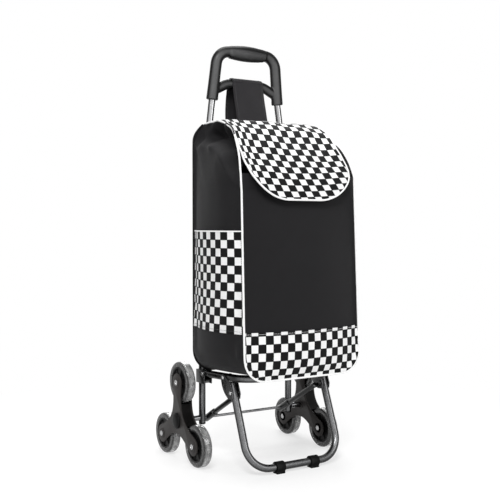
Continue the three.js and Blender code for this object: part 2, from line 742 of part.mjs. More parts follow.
// The tread's flats lie WHEEL_RADIUS from the wheel's centre.
function tyreGeometry() {
  const inside = HUB_RADIUS + GAP;
  const groove = HUB_KEY_WIDTH / 2 + GAP;
  const side = TYRE_WIDTH / 2;
  const tread = WHEEL_RADIUS / Math.cos(Math.PI / WHEEL_SIDES);
  const half = [
    [inside + HUB_KEY_HEIGHT, groove],
    [inside, groove],
    [inside, side],
    [tread - TYRE_SHOULDER, side],
    [tread - TYRE_SHOULDER / 3.5, side - TYRE_SHOULDER * 0.7],
    [tread, side - TYRE_SHOULDER * 1.7],
  ];
  const mirrored = half.map(([radius, x]) => [radius, -x]);
  return turned([...mirrored, ...half.reverse()], WHEEL_SIDES);
}

function boltGeometry() {
  const nut = -CHEEK_FACE - GAP;
  const head = CHEEK_FACE + BOLT_SEAT_RISE + GAP;
  return turned(
    [
      [0, nut - BOLT_HEAD_HEIGHT],
      [BOLT_HEAD_RADIUS, nut - BOLT_HEAD_HEIGHT],
      [BOLT_HEAD_RADIUS, nut],
      [BOLT_RADIUS, nut],
      [BOLT_RADIUS, head],
      [BOLT_HEAD_RADIUS, head],
      [BOLT_HEAD_RADIUS * 0.8, head + BOLT_HEAD_HEIGHT * 0.8],
      [0, head + BOLT_HEAD_HEIGHT],
    ],
    PIN_SIDES,
  );
}

function hubCapGeometry() {
  const room = AXLE_RADIUS + 2 * GAP;
  return turned(
    [
      [0, HUB_CAP_HEIGHT - HUB_CAP_SKIN],
      [room, HUB_CAP_HEIGHT - HUB_CAP_SKIN],
      [room, 0],
      [HUB_CAP_RADIUS, 0],
      [HUB_CAP_RADIUS, HUB_CAP_HEIGHT * 0.25],
      [HUB_CAP_RADIUS * 0.8, HUB_CAP_HEIGHT * 0.75],
      [HUB_CAP_RADIUS * 0.4, HUB_CAP_HEIGHT * 0.96],
      [0, HUB_CAP_HEIGHT],
    ],
    TUBE_SIDES,
  );
}

function buildStars() {
  const outerShell = starShell(BOLT_SEAT_RISE);
  const innerShell = starShell(0).rotateZ(Math.PI);
  const hub = hubGeometry();
  const tyre = tyreGeometry();
  const bolt = boltGeometry();
  const cap = hubCapGeometry();
  for (const [side, sign] of SIDES) {
    const star = outwardGroup(sign, STAR_TRACK, 0, AXLE_HEIGHT);
    add(`star_shell_outer_${side}`, outerShell, starPlastic, star);
    add(`star_shell_inner_${side}`, innerShell, starPlastic, star);
    add(`hub_cap_${side}`, cap, blackPlastic, star).position.x = CHEEK_FACE + GAP;
    for (const [place, angle] of ARMS) {
      const [forward, up] = armPlace(angle);
      const wheel = new THREE.Group();
      wheel.position.set(0, sign * forward, up);
      star.add(wheel);
      add(`wheel_bolt_${side}_${place}`, bolt, steel, wheel);
      add(`wheel_hub_${side}_${place}`, hub, blackPlastic, wheel);
      add(`tyre_${side}_${place}`, tyre, clearTyre, wheel);
    }
  }
}

// ---------------------------------------------------------------- bag
// A front view of the bag, open-ended upwards, with round lower corners.
function bagOutline(bottom, top, halfWidth, radius) {
  const outline = new THREE.Shape();
  outline.moveTo(halfWidth, top);
  outline.lineTo(-halfWidth, top);
  outline.absarc(-halfWidth + radius, bottom + radius, radius, Math.PI, 1.5 * Math.PI, false);
  outline.absarc(halfWidth - radius, bottom + radius, radius, 1.5 * Math.PI, 2 * Math.PI, false);
  return outline;
}

// A layer of cloth on the bag's front, `offset` ahead of the front face.
function frontLayer(bottom, top, offset, thickness, halfWidth) {
  const depth = offset + thickness / 2;
  const line = [bottom, top].map((z) => [bagFront(z) - depth, z]);
  const layer = prismAlongX(ribbonShape(line, thickness), -2 * halfWidth, 2 * halfWidth);
  const outline = bagOutline(bottom - 1, top + 2 * CLOTH, halfWidth, BAG_CORNER_RADIUS);
  return common(layer, prismAlongY(outline, 2 * BAG_FRONT, 0));
}

function buildBagPanels() {
  add("bag_front", frontLayer(BAG_HEM_HEIGHT, BAG_FRONT_TOP, -CLOTH, CLOTH, BAG_HALF_WIDTH), blackCloth);
  const band = frontLayer(BAG_HEM_HEIGHT, BAND_TOP, GAP, PATCH_CLOTH, BAG_HALF_WIDTH);
  add("front_band", band, checkCloth);

  // The back panel rises from the rails and turns forward to the flap's seam.
  const backY = BAG_REAR - CLOTH / 2;
  const backLine = [
    [backY, bagBottom(BAG_REAR)],
    [backY, BAG_SHOULDER_HEIGHT],
    BAG_SHOULDER,
    [FLAP_SEAM_Y + SEAM_ROOM, FLAP_SEAM_HEIGHT],
  ];
  const backInside = BAG_HALF_WIDTH - CLOTH - GAP;
  const backSheet = prismAlongX(ribbonShape(backLine, CLOTH), -BAG_HALF_WIDTH, BAG_HALF_WIDTH);
  const backOutline = bagOutline(
    bagBottom(BAG_REAR),
    2 * FLAP_SEAM_HEIGHT,
    backInside,
    BAG_CORNER_RADIUS,
  );
  add("bag_back", common(backSheet, prismAlongY(backOutline, 2 * FLAP_SEAM_Y, 0)), blackCloth);

  // The base is a trough on the rails, between the back and front panels.
  const baseRear = BAG_REAR - CLOTH - GAP;
  const baseFront = bagFront(bagBottom(BAG_FRONT) + BAG_CORNER_RADIUS) + CLOTH + GAP;
  const trough = bagOutline(0, BAG_CORNER_RADIUS, BAG_HALF_WIDTH, BAG_CORNER_RADIUS);
  const hollow = bagOutline(
    CLOTH,
    BAG_CORNER_RADIUS + CLOTH,
    BAG_HALF_WIDTH - CLOTH,
    BAG_CORNER_RADIUS - CLOTH,
  );
  const baseLength = baseRear - baseFront;
  const base = cut(
    prismAlongY(trough, -baseLength, 0),
    prismAlongY(hollow, -baseLength - 1, 1),
  );
  base.applyMatrix4(new THREE.Matrix4().makeShear(0, 0, 0, -RAIL_RISE, 0, 0));
  base.translate(0, baseRear, bagBottom(baseRear));
  add("bag_base", base, blackCloth);

  // The sides stand on the trough's edges and follow the flap's line along their tops.
  const sideRear = baseRear;
  const sideBottom = (y) => bagBottom(y) + BAG_CORNER_RADIUS + GAP;
  const frontEdge = (z) => bagFront(z) + CLOTH + GAP;
  const drop = FLAP_CLOTH / 2 + FLAP_ROOM;
  const under = FLAP_LINE.filter(([, z]) => z - drop > BAG_FRONT_TOP);
  const topEdge = under.map(([y, z]) => [y + drop * 0.8, z - drop]);
  const frontLow = sideBottom(BAG_FRONT);
  const outline = shapeOf([
    [sideRear, sideBottom(sideRear)],
    [sideRear, BAG_SHOULDER_HEIGHT],
    ...topEdge,
    [frontEdge(BAG_FRONT_TOP), BAG_FRONT_TOP],
    [frontEdge(frontLow), frontLow],
  ]);
  const inner = BAG_HALF_WIDTH - CLOTH;
  const panel = prismAlongX(outline, inner, BAG_HALF_WIDTH);
  const pocketRear = sideRear - POCKET_MARGIN;
  const pocketOutline = shapeOf([
    [pocketRear, POCKET_BOTTOM],
    [pocketRear, POCKET_TOP],
    [frontEdge(POCKET_TOP) + POCKET_MARGIN, POCKET_TOP],
    [frontEdge(POCKET_BOTTOM) + POCKET_MARGIN, POCKET_BOTTOM],
  ]);
  const outside = BAG_HALF_WIDTH + GAP;
  const pocket = prismAlongX(pocketOutline, outside, outside + PATCH_CLOTH);
  const shift = new THREE.Matrix4();
  for (const [side, sign] of SIDES) {
    shift.makeTranslation(sign < 0 ? -BAG_HALF_WIDTH - inner : 0, 0, 0);
    add(`bag_side_${side}`, panel.clone().applyMatrix4(shift), blackCloth);
    shift.makeTranslation(sign < 0 ? -2 * outside - PATCH_CLOTH : 0, 0, 0);
    add(`side_pocket_${side}`, pocket.clone().applyMatrix4(shift), checkCloth);
  }
}

function buildFlap() {
  const sheet = prismAlongX(ribbonShape(FLAP_LINE, FLAP_CLOTH), -FLAP_HALF_WIDTH, FLAP_HALF_WIDTH);
  const outline = new THREE.Shape();
  const cornerX = FLAP_HALF_WIDTH - FLAP_CORNER_WIDTH;
  const cornerZ = FLAP_TIP_HEIGHT + FLAP_CORNER_HEIGHT;
  outline.moveTo(2 * FLAP_HALF_WIDTH, 2 * FLAP_SEAM_HEIGHT);
  outline.lineTo(-2 * FLAP_HALF_WIDTH, 2 * FLAP_SEAM_HEIGHT);
  outline.lineTo(-FLAP_HALF_WIDTH, cornerZ);
  const corner = [cornerZ, FLAP_CORNER_WIDTH, FLAP_CORNER_HEIGHT];
  outline.absellipse(-cornerX, ...corner, Math.PI, 1.5 * Math.PI, false, 0);
  outline.absellipse(cornerX, ...corner, 1.5 * Math.PI, 2 * Math.PI, false, 0);
  add("flap", common(sheet, prismAlongY(outline, 2 * BAG_FRONT, 0)), checkCloth);
}

// The carrying strap runs from the bag's top over the handle's arch and down the bag's back.
function buildStrap() {
  const half = STRAP_CLOTH / 2;
  const room = half + 2 * GAP;
  const [shoulderY, shoulderZ] = BAG_SHOULDER;
  const slope = (FLAP_SEAM_HEIGHT - shoulderZ) / (FLAP_SEAM_Y + SEAM_ROOM - shoulderY);
  const bagTop =
    shoulderZ + slope * (STRAP_FOOT_Y - half - shoulderY) + (CLOTH / 2) * Math.hypot(1, slope);
  const overArch = [];
  for (let degrees = 190; degrees >= -10; degrees -= 20) {
    const angle = THREE.MathUtils.degToRad(degrees);
    overArch.push([
      HANDLE_KNEE.y + (ARCH_HALF_DEPTH + room) * Math.cos(angle),
      ARCH_HEIGHT + (ARCH_HALF_THICKNESS + room) * Math.sin(angle),
    ]);
  }
  const tailY = BAG_REAR + GAP + half;
  const line = [
    [STRAP_FOOT_Y, bagTop + GAP],
    [STRAP_FRONT[0], FLAP_SEAM_HEIGHT + (ARCH_HEIGHT - FLAP_SEAM_HEIGHT) * STRAP_FRONT[1]],
    ...overArch,
    ...STRAP_BACK.map(([y, share]) => [
      y,
      STRAP_TAIL_TOP + (ARCH_HEIGHT - STRAP_TAIL_TOP) * share,
    ]),
    [tailY, STRAP_TAIL_TOP],
    [tailY, STRAP_TAIL_BOTTOM],
  ];
  const strap = ribbonShape(line, STRAP_CLOTH);
  add("strap", prismAlongX(strap, -STRAP_HALF_WIDTH, STRAP_HALF_WIDTH), blackCloth);
}

// ---------------------------------------------------------------- assembly
buildHandle();
buildRearLegs();
buildAxle();
buildHinges();
buildPlatform();
buildStand();
buildBraces();
buildStars();
buildBagPanels();
buildFlap();
buildStrap();

// The part's origin is on the ground, under the middle of its footprint.
const extent = new THREE.Box3().setFromObject(trolley, true);
trolley.position.y = -(extent.min.y + extent.max.y) / 2;

export default trolley;
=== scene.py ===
"""Stair-climbing shopping trolley: the looks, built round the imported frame.

Lengths are metres. Each y in a class's fields is measured from the axle, forward being
negative, and every z from the ground.
"""

from __future__ import annotations

import json
import logging
import math
from dataclasses import dataclass, field
from enum import Enum
from typing import Callable, Iterable, Sequence

import bmesh
import bpy
import numpy as np
from mathutils import Matrix, Quaternion, Vector

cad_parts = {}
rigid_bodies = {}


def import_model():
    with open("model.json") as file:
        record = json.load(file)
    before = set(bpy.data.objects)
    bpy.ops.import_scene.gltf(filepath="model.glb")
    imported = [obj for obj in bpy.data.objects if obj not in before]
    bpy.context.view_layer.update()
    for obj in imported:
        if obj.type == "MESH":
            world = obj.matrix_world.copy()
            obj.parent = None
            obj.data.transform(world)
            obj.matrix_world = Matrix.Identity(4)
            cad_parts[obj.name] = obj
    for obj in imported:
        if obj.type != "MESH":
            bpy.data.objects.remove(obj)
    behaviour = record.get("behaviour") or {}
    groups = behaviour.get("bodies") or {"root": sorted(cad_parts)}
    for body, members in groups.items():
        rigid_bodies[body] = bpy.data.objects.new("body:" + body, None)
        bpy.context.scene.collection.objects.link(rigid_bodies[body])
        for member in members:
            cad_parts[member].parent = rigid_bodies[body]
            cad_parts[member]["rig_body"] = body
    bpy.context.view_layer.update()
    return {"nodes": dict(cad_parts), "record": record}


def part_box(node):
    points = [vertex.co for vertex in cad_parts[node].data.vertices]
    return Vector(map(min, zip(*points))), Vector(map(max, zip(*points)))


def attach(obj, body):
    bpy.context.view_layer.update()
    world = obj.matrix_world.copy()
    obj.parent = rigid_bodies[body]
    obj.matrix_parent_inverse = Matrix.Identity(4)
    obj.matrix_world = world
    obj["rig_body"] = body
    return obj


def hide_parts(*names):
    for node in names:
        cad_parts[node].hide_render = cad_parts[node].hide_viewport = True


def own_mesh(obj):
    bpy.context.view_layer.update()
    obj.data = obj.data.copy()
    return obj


logging.basicConfig(level=logging.INFO, format="%(message)s")
LOG = logging.getLogger("trolley")

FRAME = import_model()
AXLE_CENTRE = sum(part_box("axle"), Vector()) / 2

Point = tuple[float, float]
Triple = tuple[float, float, float]
Colour = tuple[float, float, float, float]
Material = bpy.types.Material
Mesh = bpy.types.Mesh
Piece = bpy.types.Object
Value = "Sock | float | tuple | bpy.types.NodeSocket"

BLACK: Colour = (0.0, 0.0, 0.0, 1.0)
WHITE: Colour = (1.0, 1.0, 1.0, 1.0)
CORD_CREASE = 60.0  # the angle in degrees past which a cord's or rib's edges stay sharp
TRACK = 0.1743  # how far from the trolley's middle the wheels' middles run


def at(x: float, y: float, z: float) -> Vector:
    """A point in the row frame, from x, y behind the axle and z above the ground."""
    return Vector((x, AXLE_CENTRE.y + y, z))


class Side(Enum):
    """The two sides of the trolley, with the sign of their x."""

    LEFT = -1
    RIGHT = 1

    @property
    def word(self) -> str:
        """The side's name as the CAD nodes spell it."""
        return self.name.lower()


class Place(Enum):
    """Where a wheel sits on its star, as the angle of its arm seen from the right."""

    TOP = 90
    FRONT = 210
    REAR = 330

    @property
    def word(self) -> str:
        """The place's name as the CAD nodes spell it."""
        return self.name.lower()


# ------------------------------------------------------------------ node trees


def operator(operation: str, swapped: bool = False) -> Callable[..., Sock]:
    """A Sock's operator that adds a Math node, with its two values swapped if asked."""

    def apply(self: Sock, *other: Value) -> Sock:
        """The node's result."""
        values = (*other, self) if swapped else (self, *other)
        return self.kit.maths(operation, *values)

    return apply


class Sock:
    """An output socket that Python's operators extend with Math nodes."""

    def __init__(self, kit: TreeKit, socket: bpy.types.NodeSocket) -> None:
        self.kit = kit
        self.socket = socket

    __add__, __radd__ = operator("ADD"), operator("ADD", True)
    __sub__, __rsub__ = operator("SUBTRACT"), operator("SUBTRACT", True)
    __mul__, __rmul__ = operator("MULTIPLY"), operator("MULTIPLY", True)
    __truediv__, __rtruediv__ = operator("DIVIDE"), operator("DIVIDE", True)
    __mod__ = operator("FLOORED_MODULO")
    __gt__ = operator("GREATER_THAN")
    __abs__ = operator("ABSOLUTE")
    sine = operator("SINE")
    floor = operator("FLOOR")

    def step(self, low: float, high: float) -> Sock:
        """Self rising smoothly from 0 at low to 1 at high."""
        node = self.kit.node(
            "ShaderNodeMapRange", {"interpolation_type": "SMOOTHSTEP", "clamp": True},
            {"Value": self, "From Min": low, "From Max": high},
        )
        return Sock(self.kit, node.outputs["Result"])


class TreeKit:
    """Adds nodes and links to one node tree."""

    def __init__(self, tree: bpy.types.NodeTree) -> None:
        """Works on tree, which starts empty."""
        self.tree = tree
        tree.nodes.clear()

    def node(
        self,
        kind: str,
        settings: dict[str, object] | None = None,
        inputs: dict[str | int, Value] | None = None,
    ) -> bpy.types.Node:
        """Adds a node.

        Args:
            kind: The node's type.
            settings: Its attributes.
            inputs: A value or a link for each named or numbered socket.

        Returns:
            The new node.
        """
        node = self.tree.nodes.new(kind)
        for name, value in (settings or {}).items():
            setattr(node, name, value)
        for name, value in (inputs or {}).items():
            source = value.socket if isinstance(value, Sock) else value
            if isinstance(source, bpy.types.NodeSocket):
                self.tree.links.new(source, node.inputs[name])
            else:
                node.inputs[name].default_value = source
        return node

    def out(self, node: bpy.types.Node, name: str | int = 0) -> Sock:
        """One of a node's outputs as a value."""
        return Sock(self, node.outputs[name])

    def maths(self, operation: str, *values: Value) -> Sock:
        """A Math node on values."""
        node = self.node("ShaderNodeMath", {"operation": operation}, dict(enumerate(values)))
        return self.out(node)

    def split(self, vector: Sock) -> tuple[Sock, Sock, Sock]:
        """A vector's three parts."""
        node = self.node("ShaderNodeSeparateXYZ", None, {0: vector})
        return self.out(node, 0), self.out(node, 1), self.out(node, 2)


class Shade(TreeKit):
    """One material's node tree."""

    def __init__(self, name: str) -> None:
        """Starts an empty material called name."""
        self.material = bpy.data.materials.new(name)
        self.material.use_nodes = True
        super().__init__(self.material.node_tree)

    def object_coords(self) -> Sock:
        """The point in the row frame, in metres."""
        return self.out(self.node("ShaderNodeTexCoord"), "Object")

    def cloth_coords(self) -> Sock:
        """The point on the flat cut of a cloth, in metres."""
        return self.out(self.node("ShaderNodeUVMap", {"uv_map": Cloth.MAP}))

    def noise(self, where: Sock, scale: float, detail: float = 2.0, rough: float = 0.5) -> Sock:
        """Noise from 0 to 1 with that many waves in a metre."""
        node = self.node(
            "ShaderNodeTexNoise", None,
            {"Vector": where, "Scale": scale, "Detail": detail, "Roughness": rough},
        )
        return self.out(node, 0)

    def stretched(self, where: Sock, scale: Triple) -> Sock:
        """Coordinates with each axis scaled."""
        return self.out(self.node("ShaderNodeMapping", None, {"Vector": where, "Scale": scale}))

    def mix(self, share: Value, first: Value, second: Value) -> Sock:
        """The colour between first, at share 0, and second, at share 1."""
        node = self.node("ShaderNodeMix", {"data_type": "RGBA"}, {0: share, 6: first, 7: second})
        return self.out(node, 2)

    def bump(self, height: Value, depth: float) -> Sock:
        """A surface's tilt where height from 0 to 1 stands depth metres proud."""
        inputs = {"Height": height, "Distance": depth, "Strength": 1.0}
        return self.out(self.node("ShaderNodeBump", None, inputs))

    def rimmed(self, colour: Sock, share: float, tight: float = 0.5) -> Sock:
        """Paints shade into a colour: darkens it by share where a rounded surface turns away."""
        facing = self.out(self.node("ShaderNodeLayerWeight", None, {"Blend": 0.5}), "Facing")
        return self.mix(facing.step(0.0, tight) * share, colour, BLACK)

    def off_middle(self, where: Sock, middle: float, half: float) -> Sock:
        """How far across a wheel or star a point lies, 0 in its middle and 1 at its face."""
        x, _, _ = self.split(where)
        return abs(abs(x) - middle) / half

    def surface(self, fixed: dict[str, object], varied: dict[str, Value]) -> Material:
        """Ends the material in a Principled shader.

        Args:
            fixed: Numbers and colours that are the same all over.
            varied: What changes over the surface, by socket.

        Returns:
            The finished material.
        """
        shader = self.node("ShaderNodeBsdfPrincipled", None, {**fixed, **varied})
        self.node("ShaderNodeOutputMaterial", None, {"Surface": shader.outputs[0]})
        return self.material


def grey(level: float, tint: Sequence[float] = (0.0, 0.0, 0.0)) -> Colour:
    """A near-neutral colour in linear light, with a small tint added."""
    return (level + tint[0], level + tint[1], level + tint[2], 1.0)


def scaled(colour: Colour, by: float) -> Colour:
    """A colour made brighter or darker."""
    return tuple(c * by for c in colour[:3]) + (1.0,)


# ------------------------------------------------------------------ finishes


@dataclass(frozen=True)
class HammertonePaint:
    """Stoving enamel with the dimpled pattern of hammered metal."""

    name: str = "hammertone_paint"
    hollow: float = 0.12
    crest: float = 0.22
    cell: float = 0.0017
    metallic: float = 0.86

    def build(self) -> Material:
        """Makes the material."""
        shade = Shade(self.name)
        where = shade.object_coords()
        cells = shade.node(
            "ShaderNodeTexVoronoi", {"feature": "SMOOTH_F1"},
            {"Vector": where, "Scale": 1 / self.cell, "Smoothness": 0.6},
        )
        dimple = shade.out(cells, "Distance")
        drift = shade.noise(where, 60.0, 3.0)
        height = dimple * 0.8 + drift * 0.35
        tone = (dimple * 0.75 + drift * 0.55 - 0.25).step(0.0, 0.75)
        colour = shade.mix(
            tone, grey(self.crest, (0, 0.003, 0.008)), grey(self.hollow, (0, 0, 0.003))
        )
        # Painted shade: the paint darkens towards a tube's edges as its surface turns away.
        colour = shade.rimmed(colour, 0.9, 0.4)
        rough = shade.noise(where, 240.0, 2.0) * 0.16 + 0.2
        return shade.surface(
            {"Metallic": self.metallic, "Coat Weight": 0.12, "Coat Roughness": 0.12},
            {"Base Color": colour, "Roughness": rough, "Normal": shade.bump(height, 0.00003)},
        )


@dataclass(frozen=True)
class BrightSteel:
    """Zinc-plated steel with fine turning marks."""

    name: str = "bright_steel"
    level: float = 0.66
    marks: float = 2600.0
    # Strength and reach of the painted shade at the edges.
    edge: Point = (0.5, 0.6)

    def build(self) -> Material:
        """Makes the material."""
        shade = Shade(self.name)
        where = shade.object_coords()
        scratches = shade.noise(shade.stretched(where, (6.0, 1.0, 1.0)), self.marks, 1.0)
        clouds = shade.noise(where, 90.0, 4.0, 0.6)
        colour = shade.mix(clouds, grey(self.level * 0.82), grey(self.level, (0, 0, 0.012)))
        # Painted shade: the steel darkens towards its edges as its surface turns away.
        colour = shade.rimmed(colour, *self.edge)
        rough = scratches * 0.1 + clouds * 0.1 + 0.08
        return shade.surface(
            {"Metallic": 1.0},
            {"Base Color": colour, "Roughness": rough, "Normal": shade.bump(scratches, 0.000008)},
        )


@dataclass(frozen=True)
class Moulding:
    """Injection-moulded plastic with a spark-eroded grain."""

    name: str
    level: float
    tint: Triple = (0.0, 0.0, 0.0)
    rough: float = 0.46
    grain: float = 2200.0
    grain_depth: float = 0.00002
    scuffs: float = 0.15
    # Strength of the painted shade at the edges.
    edge: float = 0.8
    # Middle and half-width of a part whose inside gets painted shade, or None.
    core: Point | None = None
    shine: float = 0.08

    def build(self) -> Material:
        """Makes the material."""
        shade = Shade(self.name)
        where = shade.object_coords()
        grain = shade.noise(where, self.grain, 1.5, 0.6)
        clouds = shade.noise(where, 34.0, 4.0, 0.6)
        scuffs = shade.noise(shade.stretched(where, (1.0, 1.0, 5.0)), 120.0, 3.0).step(0.58, 0.8)
        shallow = shade.mix(
            clouds, grey(self.level * 0.86, self.tint), grey(self.level * 1.12, self.tint)
        )
        worn = grey(self.level * 1.5 + 0.012, self.tint)
        colour = shade.mix(scuffs * self.scuffs, shallow, worn)
        # Painted shade: the plastic darkens towards its edges as its surface turns away.
        colour = shade.rimmed(colour, self.edge, 0.32)
        # Painted shade: the inside between a star's cheeks goes nearly black.
        if self.core is not None:
            inside = 1.0 - shade.off_middle(where, *self.core).step(0.9, 1.0)
            colour = shade.mix(inside * 0.85, colour, BLACK)
        rough = grain * 0.1 + clouds * 0.1 + (self.rough - 0.1) - scuffs * (self.scuffs * 0.3)
        return shade.surface(
            {"Specular IOR Level": self.shine},
            {
                "Base Color": colour, "Roughness": rough,
                "Normal": shade.bump(grain, self.grain_depth)
            },
        )


@dataclass(frozen=True)
class ClearTyre:
    """Smoky clear polyurethane with faint flow lines, and painted shade that darkens it towards
    both faces.
    """

    name: str = "clear_tyre"
    tint: Colour = (0.98, 0.98, 0.98, 1.0)
    half: float = 0.011

    def build(self) -> Material:
        """Makes the material."""
        shade = Shade(self.name)
        where = shade.object_coords()
        flow = shade.noise(where, 70.0, 3.0, 0.55)
        off = shade.off_middle(where, TRACK, self.half)
        clear = shade.mix(flow.step(0.4, 0.66) * 0.8, self.tint, (0.3, 0.3, 0.3, 1.0))
        # Painted shade: the tyre darkens towards both of its faces.
        flow_and_side_shade = shade.mix(off.step(0.5, 0.86) * 0.95, clear, (0.02, 0.02, 0.02, 1.0))
        rough = flow * 0.08 + 0.02
        return shade.surface(
            {"Transmission Weight": 0.74, "IOR": 1.47, "Specular IOR Level": 0.4},
            {"Base Color": flow_and_side_shade, "Roughness": rough, "Normal": shade.bump(flow, 0.0004)},
        )


class Print(Enum):
    """What a cloth carries."""

    PLAIN = "plain"
    CHEQUER = "chequer"


@dataclass(frozen=True)
class Cloth:
    """Coated polyester in a plain weave, dyed dark or printed with a chequer."""

    MAP = "cut"  # the name of the UV map that holds a cloth's flat cut, in metres

    name: str
    kind: Print = Print.PLAIN
    dark: Colour = (0.0084, 0.0081, 0.009, 1.0)
    light: Colour = (0.93, 0.93, 0.93, 1.0)
    bleed: float = 0.035
    thread: float = 0.00062
    square: Point = (0.017, 0.0182)
    sheen: float = 0.035
    rough: float = 0.72
    relief: float = 0.00011

    def build(self) -> Material:
        """Makes the material."""
        shade = Shade(self.name)
        where = shade.cloth_coords()
        across, along, _ = shade.split(where)
        warp = (across * (math.pi / self.thread)).sine()
        weft = (along * (math.pi / self.thread)).sine()
        over = (warp * weft) > 0.0
        height = abs(warp) * over + abs(weft) * (1.0 - over)
        uneven = shade.noise(shade.stretched(where, (1.0, 14.0, 1.0)), 95.0, 2.0)
        slub = shade.noise(shade.stretched(where, (14.0, 1.0, 1.0)), 95.0, 2.0)
        mottle = shade.noise(where, 26.0, 4.0, 0.62)
        worn = (mottle * 0.5 + uneven * 0.25 + slub * 0.25).step(0.3, 0.72)
        groove_shade = 1.0 - height * 0.34
        colour = shade.mix(worn, self.dark, scaled(self.dark, 1.32))
        if self.kind is Print.CHEQUER:
            ink = shade.mix(0.7, colour, BLACK)
            column, row = across / self.square[0], along / self.square[1]
            odd = ((column.floor() + row.floor()) % 2.0) > 0.5
            off = shade.maths("MAXIMUM", abs((column % 1.0) - 0.5), abs((row % 1.0) - 0.5))
            bare = odd * (1.0 - (off > 0.5 - self.bleed))
            white = shade.mix(worn, scaled(self.light, 0.95), self.light)
            colour = shade.mix(bare, ink, white)
        # Painted shade: the cloth is darker in the weave's valleys.
        deep = shade.mix(groove_shade * 0.16, colour, BLACK)
        rough = height * 0.1 + mottle * 0.08 + (self.rough - 0.09)
        return shade.surface(
            {"Sheen Weight": self.sheen, "Sheen Roughness": 0.45, "Specular IOR Level": 0.14},
            {"Base Color": deep, "Roughness": rough, "Normal": shade.bump(height, self.relief)},
        )


@dataclass(frozen=True)
class Thread:
    """Twisted sewing thread or a cord's covering, seen from close by."""

    name: str
    level: float
    twist: float = 2400.0
    tint: Triple = (0.0, 0.0, 0.0)

    def build(self) -> Material:
        """Makes the material."""
        shade = Shade(self.name)
        where = shade.object_coords()
        x, y, z = shade.split(where)
        strand = ((x + y * 0.7 + z) * self.twist).sine() * 0.5 + 0.5
        fluff = shade.noise(where, 420.0, 3.0)
        # Partly painted shade: darker in the twist's grooves, with fluff as random tone.
        colour = shade.mix(
            strand * 0.4 + fluff * 0.5, grey(self.level * 0.84, self.tint),
            grey(self.level, self.tint),
        )
        return shade.surface(
            {"Sheen Weight": 0.3, "Specular IOR Level": 0.3},
            {
                "Base Color": colour, "Roughness": fluff * 0.15 + 0.6,
                "Normal": shade.bump(strand, 0.00004),
            },
        )


@dataclass(frozen=True)
class Finishes:
    """Every finish on the trolley, made once."""

    paint: Material
    steel: Material
    rod: Material
    chrome: Material
    handle: Material
    black: Material
    star: Material
    hub: Material
    tyre: Material
    rubber: Material
    cloth: Material
    check: Material
    flap_check: Material
    strap: Material
    piping: Material
    dark_thread: Material
    peg: Material

    @classmethod
    def made(cls) -> "Finishes":
        """Builds them all."""
        return cls(
            # Each edge value sets how much painted shade a finish gets at its edges.
            paint=HammertonePaint().build(),
            steel=BrightSteel().build(),
            rod=BrightSteel("axle_steel", 0.3).build(),
            chrome=BrightSteel("chromed_steel", 0.52, edge=(0.95, 0.34)).build(),
            handle=Moulding("handle_plastic", 0.1, (0.0, 0.0, 0.001), 0.28, edge=0.95).build(),
            black=Moulding("black_plastic", 0.008, rough=0.38).build(),
            star=Moulding(
                "star_plastic", 0.03, (0.004, 0.001, 0.0), 0.42, scuffs=0.25, edge=0.0,
                core=(TRACK, 0.0125)
            ).build(),
            hub=Moulding("hub_plastic", 0.01, rough=0.36, edge=0.0).build(),
            tyre=ClearTyre().build(),
            rubber=Moulding(
                "foot_rubber", 0.018, rough=0.78, grain=900.0, grain_depth=0.00005
            ).build(),
            cloth=Cloth("black_cloth").build(),
            check=Cloth("check_cloth", Print.CHEQUER, sheen=0.01).build(),
            flap_check=Cloth("flap_cloth", Print.CHEQUER, sheen=0.01).build(),
            strap=Cloth(
                "strap_webbing",
                dark=(0.019, 0.0178, 0.0197, 1.0),
                thread=0.0016,
                relief=0.0003,
                sheen=0.09,
            ).build(),
            piping=Thread("white_piping", 0.9).build(),
            dark_thread=Thread("dark_thread", 0.05).build(),
            # The pegs are real parts; their near-white colour is a painted glint.
            peg=Moulding("clear_peg", 0.9, rough=0.2, edge=0.0).build(),
        )


# ------------------------------------------------------------------ shaping


def rounded(points: Sequence[Vector], radius: float, steps: int = 14) -> list[Vector]:
    """A line through points with its inner corners rounded.

    Args:
        points: The corners, ends included.
        radius: The bend's radius.
        steps: How many pieces each bend has.

    Returns:
        The points of the line.
    """
    line = [points[0].copy()]
    for before, corner, after in zip(points, points[1:], points[2:]):
        back, on = (before - corner).normalized(), (after - corner).normalized()
        turn = math.pi - back.angle(on)
        if turn < 1e-4:
            line.append(corner.copy())
            continue
        run = radius * math.tan(turn / 2)
        centre = corner + (back + on).normalized() * (radius / math.cos(turn / 2))
        start = corner + back * run - centre
        axis = start.cross(corner + on * run - centre).normalized()
        line += [
            centre + Quaternion(axis, turn * step / steps) @ start for step in range(steps + 1)
        ]
    line.append(points[-1].copy())
    return line


def smooth_line(points: Sequence[Vector], steps: int = 8) -> list[Vector]:
    """A smooth curve through points, with steps pieces between each two."""
    knots = [points[0] * 2 - points[1], *points, points[-1] * 2 - points[-2]]
    line = []
    for p0, p1, p2, p3 in zip(knots, knots[1:], knots[2:], knots[3:]):
        for step in range(steps):
            t = step / steps
            straight = 2 * p1 + (p2 - p0) * t
            bent = straight + (2 * p0 - 5 * p1 + 4 * p2 - p3) * t**2
            line.append(0.5 * (bent + (3 * p1 - p0 - 3 * p2 + p3) * t**3))
    return line + [points[-1].copy()]


def passed(line: Sequence[Vector]) -> list[float]:
    """How far along a line each of its points lies."""
    lengths = [0.0]
    for one, two in zip(line, line[1:]):
        lengths.append(lengths[-1] + (two - one).length)
    return lengths


